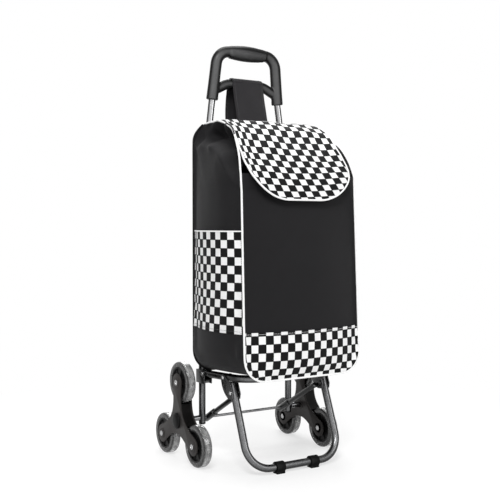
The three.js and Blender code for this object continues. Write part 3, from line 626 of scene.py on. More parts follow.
def evenly(points: Sequence[Vector], count: int) -> list[Vector]:
    """Count points spaced evenly along a line, its ends included."""
    lengths, found, place = passed(points), [], 0
    for i in range(count):
        goal = lengths[-1] * i / (count - 1)
        while place < len(points) - 2 and lengths[place + 1] < goal:
            place += 1
        span = max(lengths[place + 1] - lengths[place], 1e-9)
        found.append(points[place].lerp(points[place + 1], (goal - lengths[place]) / span))
    return found


def mirrored(profile: Sequence[Point]) -> list[Point]:
    """A turned profile's other half, in the order that carries on from the first."""
    return [(radius, -along) for radius, along in reversed(profile)]


def ray(angle: float) -> Vector:
    """The direction at an angle from Y towards Z."""
    return Vector((0.0, math.cos(angle), math.sin(angle)))


def boxed(node: str) -> tuple[Vector, Vector]:
    """The middle of a CAD node's box, and half its size."""
    low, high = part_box(node)
    return (low + high) / 2, (high - low) / 2


def vectors(rows: Iterable[Sequence[float]], shift: Triple = (0.0, 0.0, 0.0)) -> list[Vector]:
    """Rows of numbers as points, each moved by shift."""
    return [Vector(row) + Vector(shift) for row in rows]


@dataclass
class Form:
    """Points and faces that grow into one mesh."""

    points: list[Vector] = field(default_factory=list)
    faces: list[tuple[int, ...]] = field(default_factory=list)

    def loft(self, rings: Sequence[Sequence[Vector]], joined: bool = False) -> Form:
        """Adds a skin through closed rings of equal count.

        Args:
            rings: The rings, each a list of points.
            joined: Whether the last ring runs on into the first; if not, its ends are closed.

        Returns:
            This form.
        """
        base, around = len(self.points), len(rings[0])
        for ring in rings:
            self.points += [Vector(p) for p in ring]
        for i in range(len(rings) if joined else len(rings) - 1):
            one, two = base + i * around, base + (i + 1) % len(rings) * around
            for k in range(around):
                after = (k + 1) % around
                self.faces.append((one + k, one + after, two + after, two + k))
        if not joined:
            self.faces.append(tuple(base + k for k in reversed(range(around))))
            last = base + (len(rings) - 1) * around
            self.faces.append(tuple(last + k for k in range(around)))
        return self

    def tube(
        self,
        line: Sequence[Vector],
        radius: float | Callable[[float], float],
        wall: float = 0.0,
        sides: int = 32,
        soft_end: float = 0.0,
    ) -> Form:
        """Adds a round bar or tube along a line.

        Args:
            line: The centre line.
            radius: The outer radius, or one that follows the share of the line passed.
            wall: The wall's thickness, where the tube is hollow.
            sides: Faces round it.
            soft_end: How far the ends of a bar are rounded over.

        Returns:
            This form.
        """
        frames, lengths = self.frames(line), passed(line)
        turns = [2 * math.pi * k / sides for k in range(sides)]

        def ring(index: int, less: float = 0.0, shift: float = 0.0) -> list[Vector]:
            """The ring at a point of the line, less than its radius and shifted ahead."""
            ahead, across, up = frames[index]
            size = radius(lengths[index] / lengths[-1]) if callable(radius) else radius
            return [
                line[index] + ahead * shift + (
                    across * math.cos(a) + up * math.sin(a)
                ) * (size - less)
                for a in turns
            ]

        outer = [ring(i) for i in range(len(line))]
        if soft_end > 0:
            head, tail = (
                [
                    ring(end, soft_end * (1 - math.cos(a)), way * soft_end * math.sin(a))
                    for a in map(math.radians, (22.5, 45, 67.5))
                ]
                for end, way in ((0, -1), (len(line) - 1, 1))
            )
            outer = head[::-1] + outer + tail
        if wall > 0:
            inner = [ring(i, wall) for i in reversed(range(len(line)))]
            return self.loft(outer + inner, joined=True)
        return self.loft(outer)

    @staticmethod
    def frames(line: Sequence[Vector]) -> list[tuple[Vector, Vector, Vector]]:
        """At each point of a line, the way ahead and two directions across it that don't twist."""
        ends = [line[0], *line, line[-1]]
        ahead = [(after - before).normalized() for before, after in zip(ends, ends[2:])]
        seed = Vector((1, 0, 0)) if abs(ahead[0].x) < 0.8 else Vector((0, 0, 1))
        across = (seed - ahead[0] * seed.dot(ahead[0])).normalized()
        found = []
        for i, way in enumerate(ahead):
            if i:
                across = ahead[i - 1].rotation_difference(way) @ across
                across = (across - way * across.dot(way)).normalized()
            found.append((way, across, way.cross(across)))
        return found

    def turned(
        self,
        profile: Sequence[Point],
        centre: Vector,
        outward: float = 1.0,
        steps: int = 64,
        joined: bool = False,
    ) -> Form:
        """Adds a profile turned round the X direction.

        Args:
            profile: (radius, distance outward from centre) pairs; a closed solid starts and
                ends near the axis, or is joined into a ring.
            centre: Where the profile's distances start.
            outward: The sign of x that counts as outward.
            steps: Faces round it.
            joined: Whether the profile is a closed loop.

        Returns:
            This form.
        """
        turns = [2 * math.pi * k / steps for k in range(steps)]
        rings = []
        for radius, along in profile:
            size = max(radius, 2e-5)
            rings.append(
                [
                    centre + Vector((outward * along, size * math.cos(a), size * math.sin(a)))
                    for a in turns
                ]
            )
        return self.loft(rings, joined=joined)

    def plate(self, outline: Sequence[Point], x0: float, x1: float, edge: float = 0.0006) -> Form:
        """Adds a flat plate with eased edges, from x0 to x1.

        Args:
            outline: (y, z) of its corners in the row frame, in order.
            x0: Its lower face.
            x1: Its upper face.
            edge: The radius of its edges.

        Returns:
            This form.
        """
        flat = [Vector((0.0, y, z)) for y, z in outline]
        count = len(flat)
        spin = sum(
            flat[i].y * flat[(i + 1) % count].z - flat[i].z * flat[(i + 1) % count].y
            for i in range(count)
        )
        inward = []
        for i in range(count):
            one = (flat[i] - flat[i - 1]).normalized()
            two = (flat[(i + 1) % count] - flat[i]).normalized()
            way = one + two
            normal = Vector((0.0, -way.z, way.y)) if way.length > 1e-6 else -one
            inward.append(normal.normalized() * (1 if spin > 0 else -1))

        def ring(x: float, inset: float) -> list[Vector]:
            return [Vector((x, p.y + n.y * inset, p.z + n.z * inset)) for p, n in zip(flat, inward)]

        small = edge * 0.3
        rings = [
            ring(x0, edge), ring(x0 + small, small), ring(x0 + edge, 0.0), ring(x1 - edge, 0.0),
            ring(x1 - small, small), ring(x1, edge),
        ]
        return self.loft(rings)

    def mesh(self, name: str, crease: float = 32.0) -> Mesh:
        """The form as a mesh with its faces outwards.

        Args:
            name: The mesh's name.
            crease: The angle in degrees past which an edge stays sharp.

        Returns:
            The mesh.
        """
        made = bmesh.new()
        corners = [made.verts.new(p) for p in self.points]
        for face in self.faces:
            made.faces.new([corners[i] for i in face])
        bmesh.ops.remove_doubles(made, verts=made.verts, dist=2e-6)
        bmesh.ops.recalc_face_normals(made, faces=made.faces)
        mesh = bpy.data.meshes.new(name)
        made.to_mesh(mesh)
        made.free()
        return shaded(mesh, crease)


def shaded(mesh: Mesh, crease: float = 32.0) -> Mesh:
    """Smooths a mesh's shading up to an angle in degrees."""
    mesh.shade_smooth()
    mesh.set_sharp_from_angle(angle=math.radians(crease))
    return mesh


def quads_of(index: np.ndarray) -> np.ndarray:
    """The four corners' numbers of every square of a grid of numbered points."""
    corners = (index[:-1, :-1], index[:-1, 1:], index[1:, 1:], index[1:, :-1])
    return np.stack(corners, axis=-1).reshape(-1, 4)


@dataclass
class Sheet:
    """A cloth as a grid of points and its flat cut, both of shape (rows, columns)."""

    points: np.ndarray
    cut: np.ndarray

    def normals(self) -> np.ndarray:
        """Unit normals at the grid's points."""
        down = np.gradient(self.points, axis=0)
        across = np.gradient(self.points, axis=1)
        normal = np.cross(across, down)
        size = np.linalg.norm(normal, axis=2, keepdims=True)
        return normal / np.maximum(size, 1e-12)

    def flipped(self) -> Sheet:
        """The same sheet with its face on the other side."""
        return Sheet(self.points[:, ::-1], self.cut[:, ::-1])

    def mesh(self, name: str) -> Mesh:
        """The sheet as a mesh of squares whose UV map holds the flat cut."""
        rows, columns, _ = self.points.shape
        mesh = bpy.data.meshes.new(name)
        index = np.arange(rows * columns).reshape(rows, columns)
        quads = quads_of(index)[:, ::-1]
        mesh.from_pydata(self.points.reshape(-1, 3).tolist(), [], quads.tolist())
        layer = mesh.uv_layers.new(name=Cloth.MAP)
        corner = np.empty(len(mesh.loops), dtype=np.int32)
        mesh.loops.foreach_get("vertex_index", corner)
        layer.data.foreach_set("uv", self.cut.reshape(-1, 2)[corner].astype(np.float32).ravel())
        mesh.shade_smooth()
        return mesh

    def sampled(self, rows: np.ndarray, columns: np.ndarray) -> Sheet:
        """The sheet read at fractional rows and columns.

        Args:
            rows: Fractional row of each wanted point, of shape (n, m).
            columns: Fractional column of each wanted point, of the same shape.

        Returns:
            A sheet of shape (n, m).
        """
        high, wide, _ = self.points.shape
        r = np.clip(rows, 0, high - 1.000001)
        c = np.clip(columns, 0, wide - 1.000001)
        r0, c0 = r.astype(int), c.astype(int)
        fr, fc = (r - r0)[..., None], (c - c0)[..., None]

        def read(values: np.ndarray) -> np.ndarray:
            top = values[r0, c0] * (1 - fc) + values[r0, c0 + 1] * fc
            low = values[r0 + 1, c0] * (1 - fc) + values[r0 + 1, c0 + 1] * fc
            return top * (1 - fr) + low * fr

        return Sheet(read(self.points), read(self.cut))

    def area(self) -> float:
        """The surface's area."""
        p = self.points
        one = np.cross(p[:-1, 1:] - p[:-1, :-1], p[1:, :-1] - p[:-1, :-1])
        two = np.cross(p[1:, :-1] - p[1:, 1:], p[:-1, 1:] - p[1:, 1:])
        return float((np.linalg.norm(one, axis=2) + np.linalg.norm(two, axis=2)).sum() / 2)

    def extent(self) -> Point:
        """The flat cut's width and length."""
        wide, long = np.ptp(self.cut.reshape(-1, 2), axis=0)
        return float(wide), float(long)


# ------------------------------------------------------------------ workshop


@dataclass
class Workshop:
    """Puts finished pieces on the frame and keeps the count."""

    finishes: Finishes
    made: list[str] = field(default_factory=list)

    def place(
        self,
        name: str,
        mesh: Mesh,
        finish: Material,
        body: str,
        slot: str,
        stands_for: Sequence[str] = (),
    ) -> Piece:
        """Links a mesh as a piece that rides on a body.

        Args:
            name: The piece's name.
            mesh: Its mesh, in the row frame.
            finish: Its material.
            body: The CAD body that it moves with.
            slot: The record's material slot; not used.
            stands_for: The CAD nodes that it replaces.

        Returns:
            The piece.
        """
        piece = self.link(name, mesh, finish)
        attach(piece, body)
        if stands_for:
            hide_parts(*stands_for)
        self.made.append(name)
        LOG.info("made %s", name)
        return piece

    def put(
        self, name: str, form: Form, finish: Material, body: str, slot: str, node: str = ""
    ) -> Piece:
        """Places a form that stands for one CAD node, or for none."""
        mesh = form.mesh((node or name) + "_form")
        return self.place(name, mesh, finish, body, slot, (node,) if node else ())

    def link(self, name: str, mesh: Mesh, finish: Material) -> Piece:
        """Links a mesh under a name, with one finish."""
        mesh.materials.clear()
        mesh.materials.append(finish)
        piece = bpy.data.objects.new(name, mesh)
        bpy.context.scene.collection.objects.link(piece)
        return piece

    def refine(
        self, node: str, finish: Material, edge: float = 0.0004, crease: float = 38.0
    ) -> Piece:
        """Replaces a CAD node by a merged copy with eased edges.

        Args:
            node: The CAD node.
            finish: Its material.
            edge: The width of its eased edges, 0 for none.
            crease: The angle in degrees past which an edge is eased or stays sharp.

        Returns:
            The piece.
        """
        source = FRAME["nodes"][node]
        made = bmesh.new()
        made.from_mesh(source.data)
        bmesh.ops.remove_doubles(made, verts=made.verts, dist=5e-6)
        bmesh.ops.dissolve_limit(
            made, angle_limit=math.radians(0.6), verts=made.verts, edges=made.edges
        )
        if edge:
            sharp = [
                e
                for e in made.edges
                if len(e.link_faces) == 2 and e.calc_face_angle(0.0) > math.radians(crease)
            ]
            bmesh.ops.bevel(
                made,
                geom=sharp,
                offset=edge,
                segments=2,
                profile=0.6,
                affect="EDGES",
                clamp_overlap=True,
            )
        mesh = bpy.data.meshes.new(node + "_form")
        made.to_mesh(mesh)
        made.free()
        body = source["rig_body"]
        slot = self.slot_of(node)
        return self.place(node + "_piece", shaded(mesh, crease), finish, body, slot, (node,))

    @staticmethod
    def slot_of(node: str) -> str:
        """The record's material slot whose nodes include node."""
        parts = FRAME["record"]["subparts"]
        return next(part["material_slot"] for part in parts if part["node"] == node)

    @staticmethod
    def settled(piece: Piece) -> Mesh:
        """The mesh of an object with its modifiers applied; the object is then removed."""
        graph = bpy.context.evaluated_depsgraph_get()
        mesh = bpy.data.meshes.new_from_object(piece.evaluated_get(graph))
        mesh.name = piece.name + "_mesh"
        bpy.data.objects.remove(piece)
        return mesh


@dataclass(frozen=True)
class Repeat:
    """Sets one small shape again and again along a line with Geometry Nodes."""

    spacing: float
    size: Triple
    sides: int = 6

    def grow(self, line: Sequence[Vector], closed: bool, material: Material, seed: int) -> Mesh:
        """Grows the row.

        Args:
            line: The line that it follows.
            closed: Whether the line is a loop.
            material: The finish of each shape.
            seed: The seed of their small differences.

        Returns:
            One plain mesh.
        """
        path = bpy.data.meshes.new("row_path")
        links = [(i, i + 1) for i in range(len(line) - 1)]
        path.from_pydata(
            [tuple(p) for p in line], links + ([(len(line) - 1, 0)] if closed else []), []
        )
        host = bpy.data.objects.new("row_host", path)
        bpy.context.scene.collection.objects.link(host)
        tree, sockets = self.tree()
        modifier = host.modifiers.new("row", "NODES")
        modifier.node_group = tree
        values = {"Spacing": self.spacing, "Size": self.size, "Seed": seed, "Finish": material}
        for name, value in values.items():
            modifier[sockets[name]] = value
        return Workshop.settled(host)

    def tree(self) -> tuple[bpy.types.NodeTree, dict[str, str]]:
        """The node group, and its inputs' identifiers by name."""
        group = bpy.data.node_groups.new("row_of_shapes", "GeometryNodeTree")
        face = group.interface
        face.new_socket(name="Geometry", in_out="OUTPUT", socket_type="NodeSocketGeometry")
        kinds = {
            "Geometry": "NodeSocketGeometry",
            "Spacing": "NodeSocketFloat", "Size": "NodeSocketVector",
            "Seed": "NodeSocketInt", "Finish": "NodeSocketMaterial",
        }
        sockets = {
            name: face.new_socket(name=name, in_out="INPUT", socket_type=kind).identifier
            for name, kind in kinds.items()
        }
        kit = TreeKit(group)
        given = kit.node("NodeGroupInput")
        curve = kit.node("GeometryNodeMeshToCurve", None, {0: given.outputs["Geometry"]})
        even = kit.node(
            "GeometryNodeResampleCurve", {"mode": "LENGTH"},
            {"Curve": curve.outputs[0], "Length": given.outputs["Spacing"]},
        )
        tangent = kit.node("GeometryNodeInputTangent")
        turn = kit.node(
            "FunctionNodeAlignRotationToVector", {"axis": "X"}, {"Vector": tangent.outputs[0]}
        )
        shape = kit.node(
            "GeometryNodeMeshUVSphere", None, {"Segments": self.sides, "Rings": 4, "Radius": 0.5}
        )
        vary = kit.node(
            "FunctionNodeRandomValue", {"data_type": "FLOAT"},
            {2: 0.9, 3: 1.08, "Seed": given.outputs["Seed"]},
        )
        size = kit.node(
            "ShaderNodeVectorMath", {"operation": "SCALE"},
            {0: given.outputs["Size"], "Scale": vary.outputs[1]},
        )
        dots = kit.node(
            "GeometryNodeInstanceOnPoints", None,
            {
                "Points": even.outputs[0], "Instance": shape.outputs["Mesh"],
                "Rotation": turn.outputs[0], "Scale": size.outputs[0],
            },
        )
        real = kit.node("GeometryNodeRealizeInstances", None, {0: dots.outputs[0]})
        smooth = kit.node("GeometryNodeSetShadeSmooth", None, {0: real.outputs[0]})
        dressed = kit.node(
            "GeometryNodeSetMaterial", None,
            {"Geometry": smooth.outputs[0], "Material": given.outputs["Finish"]},
        )
        kit.node("NodeGroupOutput", None, {0: dressed.outputs[0]})
        return group, sockets

    def sewn(
        self,
        shop: Workshop,
        name: str,
        line: Sequence[Vector],
        thread: Material,
        body: str,
        slot: str,
        seed: int,
    ) -> Piece:
        """Grows an open row and places it as a piece of its own.

        Args:
            shop: Where it is placed.
            name: The piece's name.
            line: The line that it follows.
            thread: Its finish.
            body: The CAD body that it moves with.
            slot: The record's material slot.
            seed: The seed of its small differences.

        Returns:
            The piece.
        """
        return shop.place(name, self.grow(line, False, thread, seed), thread, body, slot)


STITCHES = Repeat(0.0042, (0.0031, 0.00085, 0.00085))
STRAP_STITCHES = Repeat(0.004, (0.003, 0.0008, 0.0008))


# ------------------------------------------------------------------ frame of tube and sheet


@dataclass
class TubeFrame:
    """The rear legs, folding platform, stand, braces and their brackets."""

    half_width: float = 0.1225
    leg_radius: float = 0.008
    tube_radius: float = 0.0085
    wall: float = 0.0015
    leg_foot: float = 0.0796
    leg_bend: float = 0.615
    leg_bend_radius: float = 0.4
    leg_joint: float = 0.7
    collar: Triple = (0.092, 0.005, 0.842)
    socket: float = 0.030
    rail_height: float = 0.1974
    rail_rise: float = 0.065
    rail_tail: float = -0.013
    rail_front: float = -0.2
    rail_corner: float = 0.052
    stand_line: Triple = (-0.1378, 0.2, 0.4)
    stand_top: float = 0.1935
    stand_bar: float = 0.014
    stand_corner: float = 0.055
    stand_pin: float = 0.1745
    brace_offset: float = 0.1054
    brace_radius: float = 0.006
    eye_radius: float = 0.0052
    eye_faces: Point = (0.0036, 0.0058)
    rivet_sizes: Triple = (0.003, 0.0048, 0.0019)
    ferrule: float = 0.012
    sleeve_radius: float = 0.0082

    def rail(self, y: float) -> float:
        """The height of the rails' centre line at y."""
        return self.rail_height - self.rail_rise * y

    def stand(self, z: float) -> float:
        """The y of the stand's centre line at height z."""
        y, height, slope = self.stand_line
        return y - slope * (height - z)

    def build(self, shop: Workshop) -> None:
        """Makes and dresses the whole frame."""
        self.legs(shop)
        self.hoops(shop)
        self.braces(shop)
        self.axle(shop)
        self.sheet_metal(shop)

    def legs(self, shop: Workshop) -> None:
        """The two rear legs and the plugs in their feet."""
        paint, chrome, black = shop.finishes.paint, shop.finishes.chrome, shop.finishes.black
        for side in Side:
            x, word = side.value, side.word
            foot = at(x * self.half_width, 0.0, self.leg_foot)
            bend = at(x * self.half_width, 0.0, self.leg_bend)
            collar = at(x * self.collar[0], *self.collar[1:])
            top = collar + (collar - bend).normalized() * self.socket
            line = rounded([foot, bend, top], self.leg_bend_radius, 24)
            joint = line[-2].lerp(top, (self.leg_joint - line[-2].z) / (top.z - line[-2].z))
            ahead = (top - joint).normalized() * self.ferrule
            tubes = (
                ("tube", line[:-1] + [joint], paint, "frame_paint", f"rear_leg_{word}"),
                ("upper_tube", [joint, top], chrome, "bright_steel", ""),
            )
            for part, way, finish, slot, node in tubes:
                form = Form().tube(way, self.leg_radius, self.wall, 40)
                shop.put(f"leg_{part}_{word}", form, finish, "rear_frame", slot, node)
            outer = self.leg_radius + 0.0012
            ring = Form().tube([joint - ahead, joint + ahead], outer, sides=40, soft_end=0.0008)
            shop.put(f"leg_ferrule_{word}", ring, black, "rear_frame", "black_plastic")
            self.plug(shop, word)

    @staticmethod
    def plug(shop: Workshop, word: str) -> None:
        """The plug in one leg's foot."""
        node = f"leg_plug_{word}"
        centre, size = boxed(node)
        profile = [
            (0.0, -0.0029), (0.0066, -0.0029), (0.0078, -0.0021), (0.008, -0.0012), (0.008, 0.0),
            (0.0062, 0.0), (0.0062, 0.006), (0.0, 0.006),
        ]
        form = Form().turned(profile, Vector(), 1.0, 40)
        foot_top = centre - Vector((0.0, 0.0, size.z - 0.003))
        upright = Matrix.Rotation(-math.pi / 2, 4, "Y")
        form.points = [foot_top + upright @ p for p in form.points]
        name, black = f"leg_foot_plug_{word}", shop.finishes.black
        shop.put(name, form, black, "rear_frame", "black_plastic", node)

    def hoops(self, shop: Workshop) -> None:
        """The platform and the stand, each one bent tube."""
        front = (self.rail_front, self.rail(self.rail_front))
        tail = (self.rail_tail, self.rail(self.rail_tail))
        top = (self.stand(self.stand_top), self.stand_top)
        bar = (self.stand(self.stand_bar), self.stand_bar)
        for name, end, cross, corner in (
            ("platform", tail, front, self.rail_corner), ("stand", top, bar, self.stand_corner),
        ):
            half = self.half_width
            turns = ((half, end), (half, cross), (-half, cross), (-half, end))
            line = rounded([at(x, *spot) for x, spot in turns], corner, 20)
            form = Form().tube(line, self.tube_radius, self.wall, 40)
            shop.put(name + "_tube", form, shop.finishes.paint, name, "frame_paint", name)

    def braces(self, shop: Workshop) -> None:
        """The two braces, each a thin tube with a flat eye, in a sleeve at the axle."""
        for side in Side:
            x = side.value * self.brace_offset
            axle = at(x, 0.0, AXLE_CENTRE.z)
            pin = at(x, self.stand(self.stand_pin), self.stand_pin)
            along = (pin - axle).normalized()
            form = Form()
            bar = [axle + along * 0.0175, pin - along * 0.0125]
            form.tube(bar, self.brace_radius, sides=36, soft_end=0.003)
            wide = Vector((0.0, -along.z, along.y)) * self.eye_radius
            eye = [
                pin + along * self.eye_radius * math.cos(a) + wide * math.sin(a)
                for a in np.linspace(-math.pi / 2, math.pi / 2, 19)
            ]
            eye += [pin - along * 0.019 + wide, pin - along * 0.019 - wide]
            faces = sorted(x + side.value * reach for reach in self.eye_faces)
            form.plate([(p.y, p.z) for p in eye], *faces, 0.0005)
            sleeve = [axle - along * 0.0122, axle + along * 0.0345]
            form.tube(sleeve, self.sleeve_radius, sides=36, soft_end=0.0008)
            name, node = f"brace_tube_{side.word}", f"brace_{side.word}"
            shop.put(name, form, shop.finishes.paint, "braces", "frame_paint", node)

    def axle(self, shop: Workshop) -> None:
        """The axle and the sleeves that keep the stars off the legs."""
        rod, ease, bore = shop.finishes.rod, 0.0005, 0.0038
        half = boxed("axle")[1].x
        profile = [(0.0, -half), (0.0029, -half), (0.0035, 0.0006 - half)]
        form = Form().turned(profile + mirrored(profile), AXLE_CENTRE, 1.0, 32)
        shop.put("axle_rod", form, rod, "rear_frame", "bright_steel", "axle")
        for side in Side:
            node = f"axle_spacer_{side.word}"
            centre, size = boxed(node)
            profile = [(bore, -size.x), (size.z - ease, -size.x), (size.z, ease - size.x)]
            form = Form().turned(profile + mirrored(profile), centre, 1.0, 40, joined=True)
            name = f"axle_sleeve_{side.word}"
            shop.put(name, form, rod, "rear_frame", "bright_steel", node)

    def sheet_metal(self, shop: Workshop) -> None:
        """The pressed brackets, their rivets, the stops and the rubber feet."""
        for side in Side:
            word = side.word
            shop.refine(f"hinge_bracket_{word}", shop.finishes.paint, 0.0005)
            shop.refine(f"leaf_bracket_{word}", shop.finishes.paint, 0.0005)
            shop.refine(f"hinge_stop_{word}", shop.finishes.black, 0.0006)
            self.foot(shop, side)
            for pin, body, both in (
                ("hinge_pin", "rear_frame", False), ("rail_pin", "stand", True),
                ("stand_pin", "stand", False),
            ):
                self.rivet(shop, f"{pin}_{word}", side, body, both)

    def rivet(self, shop: Workshop, node: str, side: Side, body: str, both: bool) -> None:
        """One domed rivet in place of a CAD pin."""
        centre, size = boxed(node)
        half = size.x
        shaft, head, rise = self.rivet_sizes
        dome = [
            (head * math.cos(a) if a < 1.5 else 0.0, half - rise + rise * math.sin(a))
            for a in (0.0, 0.35, 0.7, 1.05, 1.3, math.pi / 2)
        ]
        outer = [(shaft, half - rise), (head - 0.0002, half - rise)] + dome
        flush = [(0.0, -half), (shaft - 0.0004, -half), (shaft, 0.0004 - half)]
        inner = mirrored(outer) if both else flush
        form = Form().turned(inner + outer, centre, side.value, 32)
        shop.put(node + "_rivet", form, shop.finishes.steel, body, "bright_steel", node)

    def foot(self, shop: Workshop, side: Side) -> None:
        """A rubber clip on the stand's bar, flat underneath."""
        node = f"rubber_foot_{side.word}"
        low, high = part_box(node)
        bar = at(0.0, self.stand(self.stand_bar), self.stand_bar)
        outer = high.z - self.stand_bar
        rim = [ray(math.radians(a)) * outer + bar for a in np.linspace(-45, 225, 40)]
        sole = ((-0.72, 0.0012), (-0.66, 0.0), (0.66, 0.0), (0.72, 0.0012))
        outline = [(p.y, p.z) for p in rim] + [(bar.y + outer * share, z) for share, z in sole]
        form = Form().plate(outline, low.x, high.x, 0.0011)
        shop.put(node + "_clip", form, shop.finishes.rubber, "stand", "foot_rubber", node)


# ------------------------------------------------------------------ handle


@dataclass
class Handle:
    """The one-piece moulded handle, with ribs under its grip."""

    voxel: float = 0.0015
    collar: Triple = (0.092, 0.005, 0.842)
    top: Triple = (0.08, -0.001, 0.9563)
    bend: float = 0.034
    radius: float = 0.0135
    flare: float = 0.0008
    grip_half: float = 0.05
    grip_swell: Point = (0.0139, 0.0043)
    arch: Triple = (0.0058, 0.882, 0.0165)
    arch_level: float = 0.043
    arch_section: float = 0.0117
    rib_pitch: float = 0.0027
    rib: float = 0.0012

    def grip(self, x: float) -> float:
        """The grip's radius at x, which swells in its middle."""
        end, swell = self.grip_swell
        return end + swell * (1 - (x / self.grip_half) ** 2)

    def leg(self, side: int, z: float) -> Vector:
        """The middle of a side's upright at height z."""
        share = (z - self.collar[2]) / (self.top[2] - self.collar[2])
        x, y = (a + (b - a) * share for a, b in zip(self.collar[:2], self.top[:2]))
        return at(side * x, y, z)

    def build(self, shop: Workshop) -> None:
        """Makes the moulding and its ribs."""

        def flared(share: float) -> float:
            """The hoop's radius, wider at its two ends."""
            return self.radius + self.flare * (2 * abs(share - 0.5)) ** 6

        form, foot, top = Form(), self.collar[2], self.top[2]
        corners = [self.leg(side, z) for side, z in ((-1, foot), (-1, top), (1, top), (1, foot))]
        hoop = rounded(corners, self.bend, 24)
        form.tube(evenly(hoop, 160), flared, sides=48, soft_end=0.0015)
        grip = [at(x, *self.top[1:]) for x in np.linspace(-self.grip_half, self.grip_half, 33)]
        form.tube(grip, lambda t: self.grip((2 * t - 1) * self.grip_half), sides=48, soft_end=0.006)
        y, height, drop = self.arch
        arch = []
        for share in np.linspace(-1, 1, 61):
            end = self.leg(1 if share > 0 else -1, height - drop)
            reach = abs(end.x)
            past = abs(share) * reach - self.arch_level
            fall = float(eased(past / (reach - self.arch_level)))
            point = at(share * reach, y, height - drop * fall)
            arch.append(point.lerp(end, fall if abs(share) > 0.99 else 0.0))
        form.tube(arch, self.arch_section, sides=48)
        host = shop.link("handle_host", form.mesh("handle_form"), shop.finishes.handle)
        remesh = host.modifiers.new("skin", "REMESH")
        remesh.mode, remesh.voxel_size = "VOXEL", self.voxel
        relax = host.modifiers.new("relax", "SMOOTH")
        relax.factor, relax.iterations = 0.6, 9
        mesh, name = shaded(Workshop.settled(host), 80.0), "handle_moulding"
        shop.place(name, mesh, shop.finishes.handle, "rear_frame", "handle_moulding", ("handle",))
        self.ribs(shop)

    def ribs(self, shop: Workshop) -> None:
        """Fine ribs across the underside of the grip."""

        def swelling(share: float) -> float:
            """The rib's radius, which runs out at its two ends."""
            return self.rib * (0.25 + 0.75 * math.sin(math.pi * share) ** 0.5)

        centre = at(0.0, *self.top[1:])
        form = Form()
        half = self.grip_half * 0.92
        count = int(half * 2 / self.rib_pitch)
        for step in range(count + 1):
            x = -half + half * 2 * step / count
            radius = self.grip(x) - 0.0001
            line = [
                centre + Vector((x, math.sin(a) * radius, -math.cos(a) * radius))
                for a in np.linspace(-1.75, 1.35, 17)
            ]
            form.tube(line, swelling, sides=6)
        mesh = form.mesh("handle_ribs_form", CORD_CREASE)
        shop.place("handle_ribs", mesh, shop.finishes.handle, "rear_frame", "handle_moulding")


# ------------------------------------------------------------------ wheels


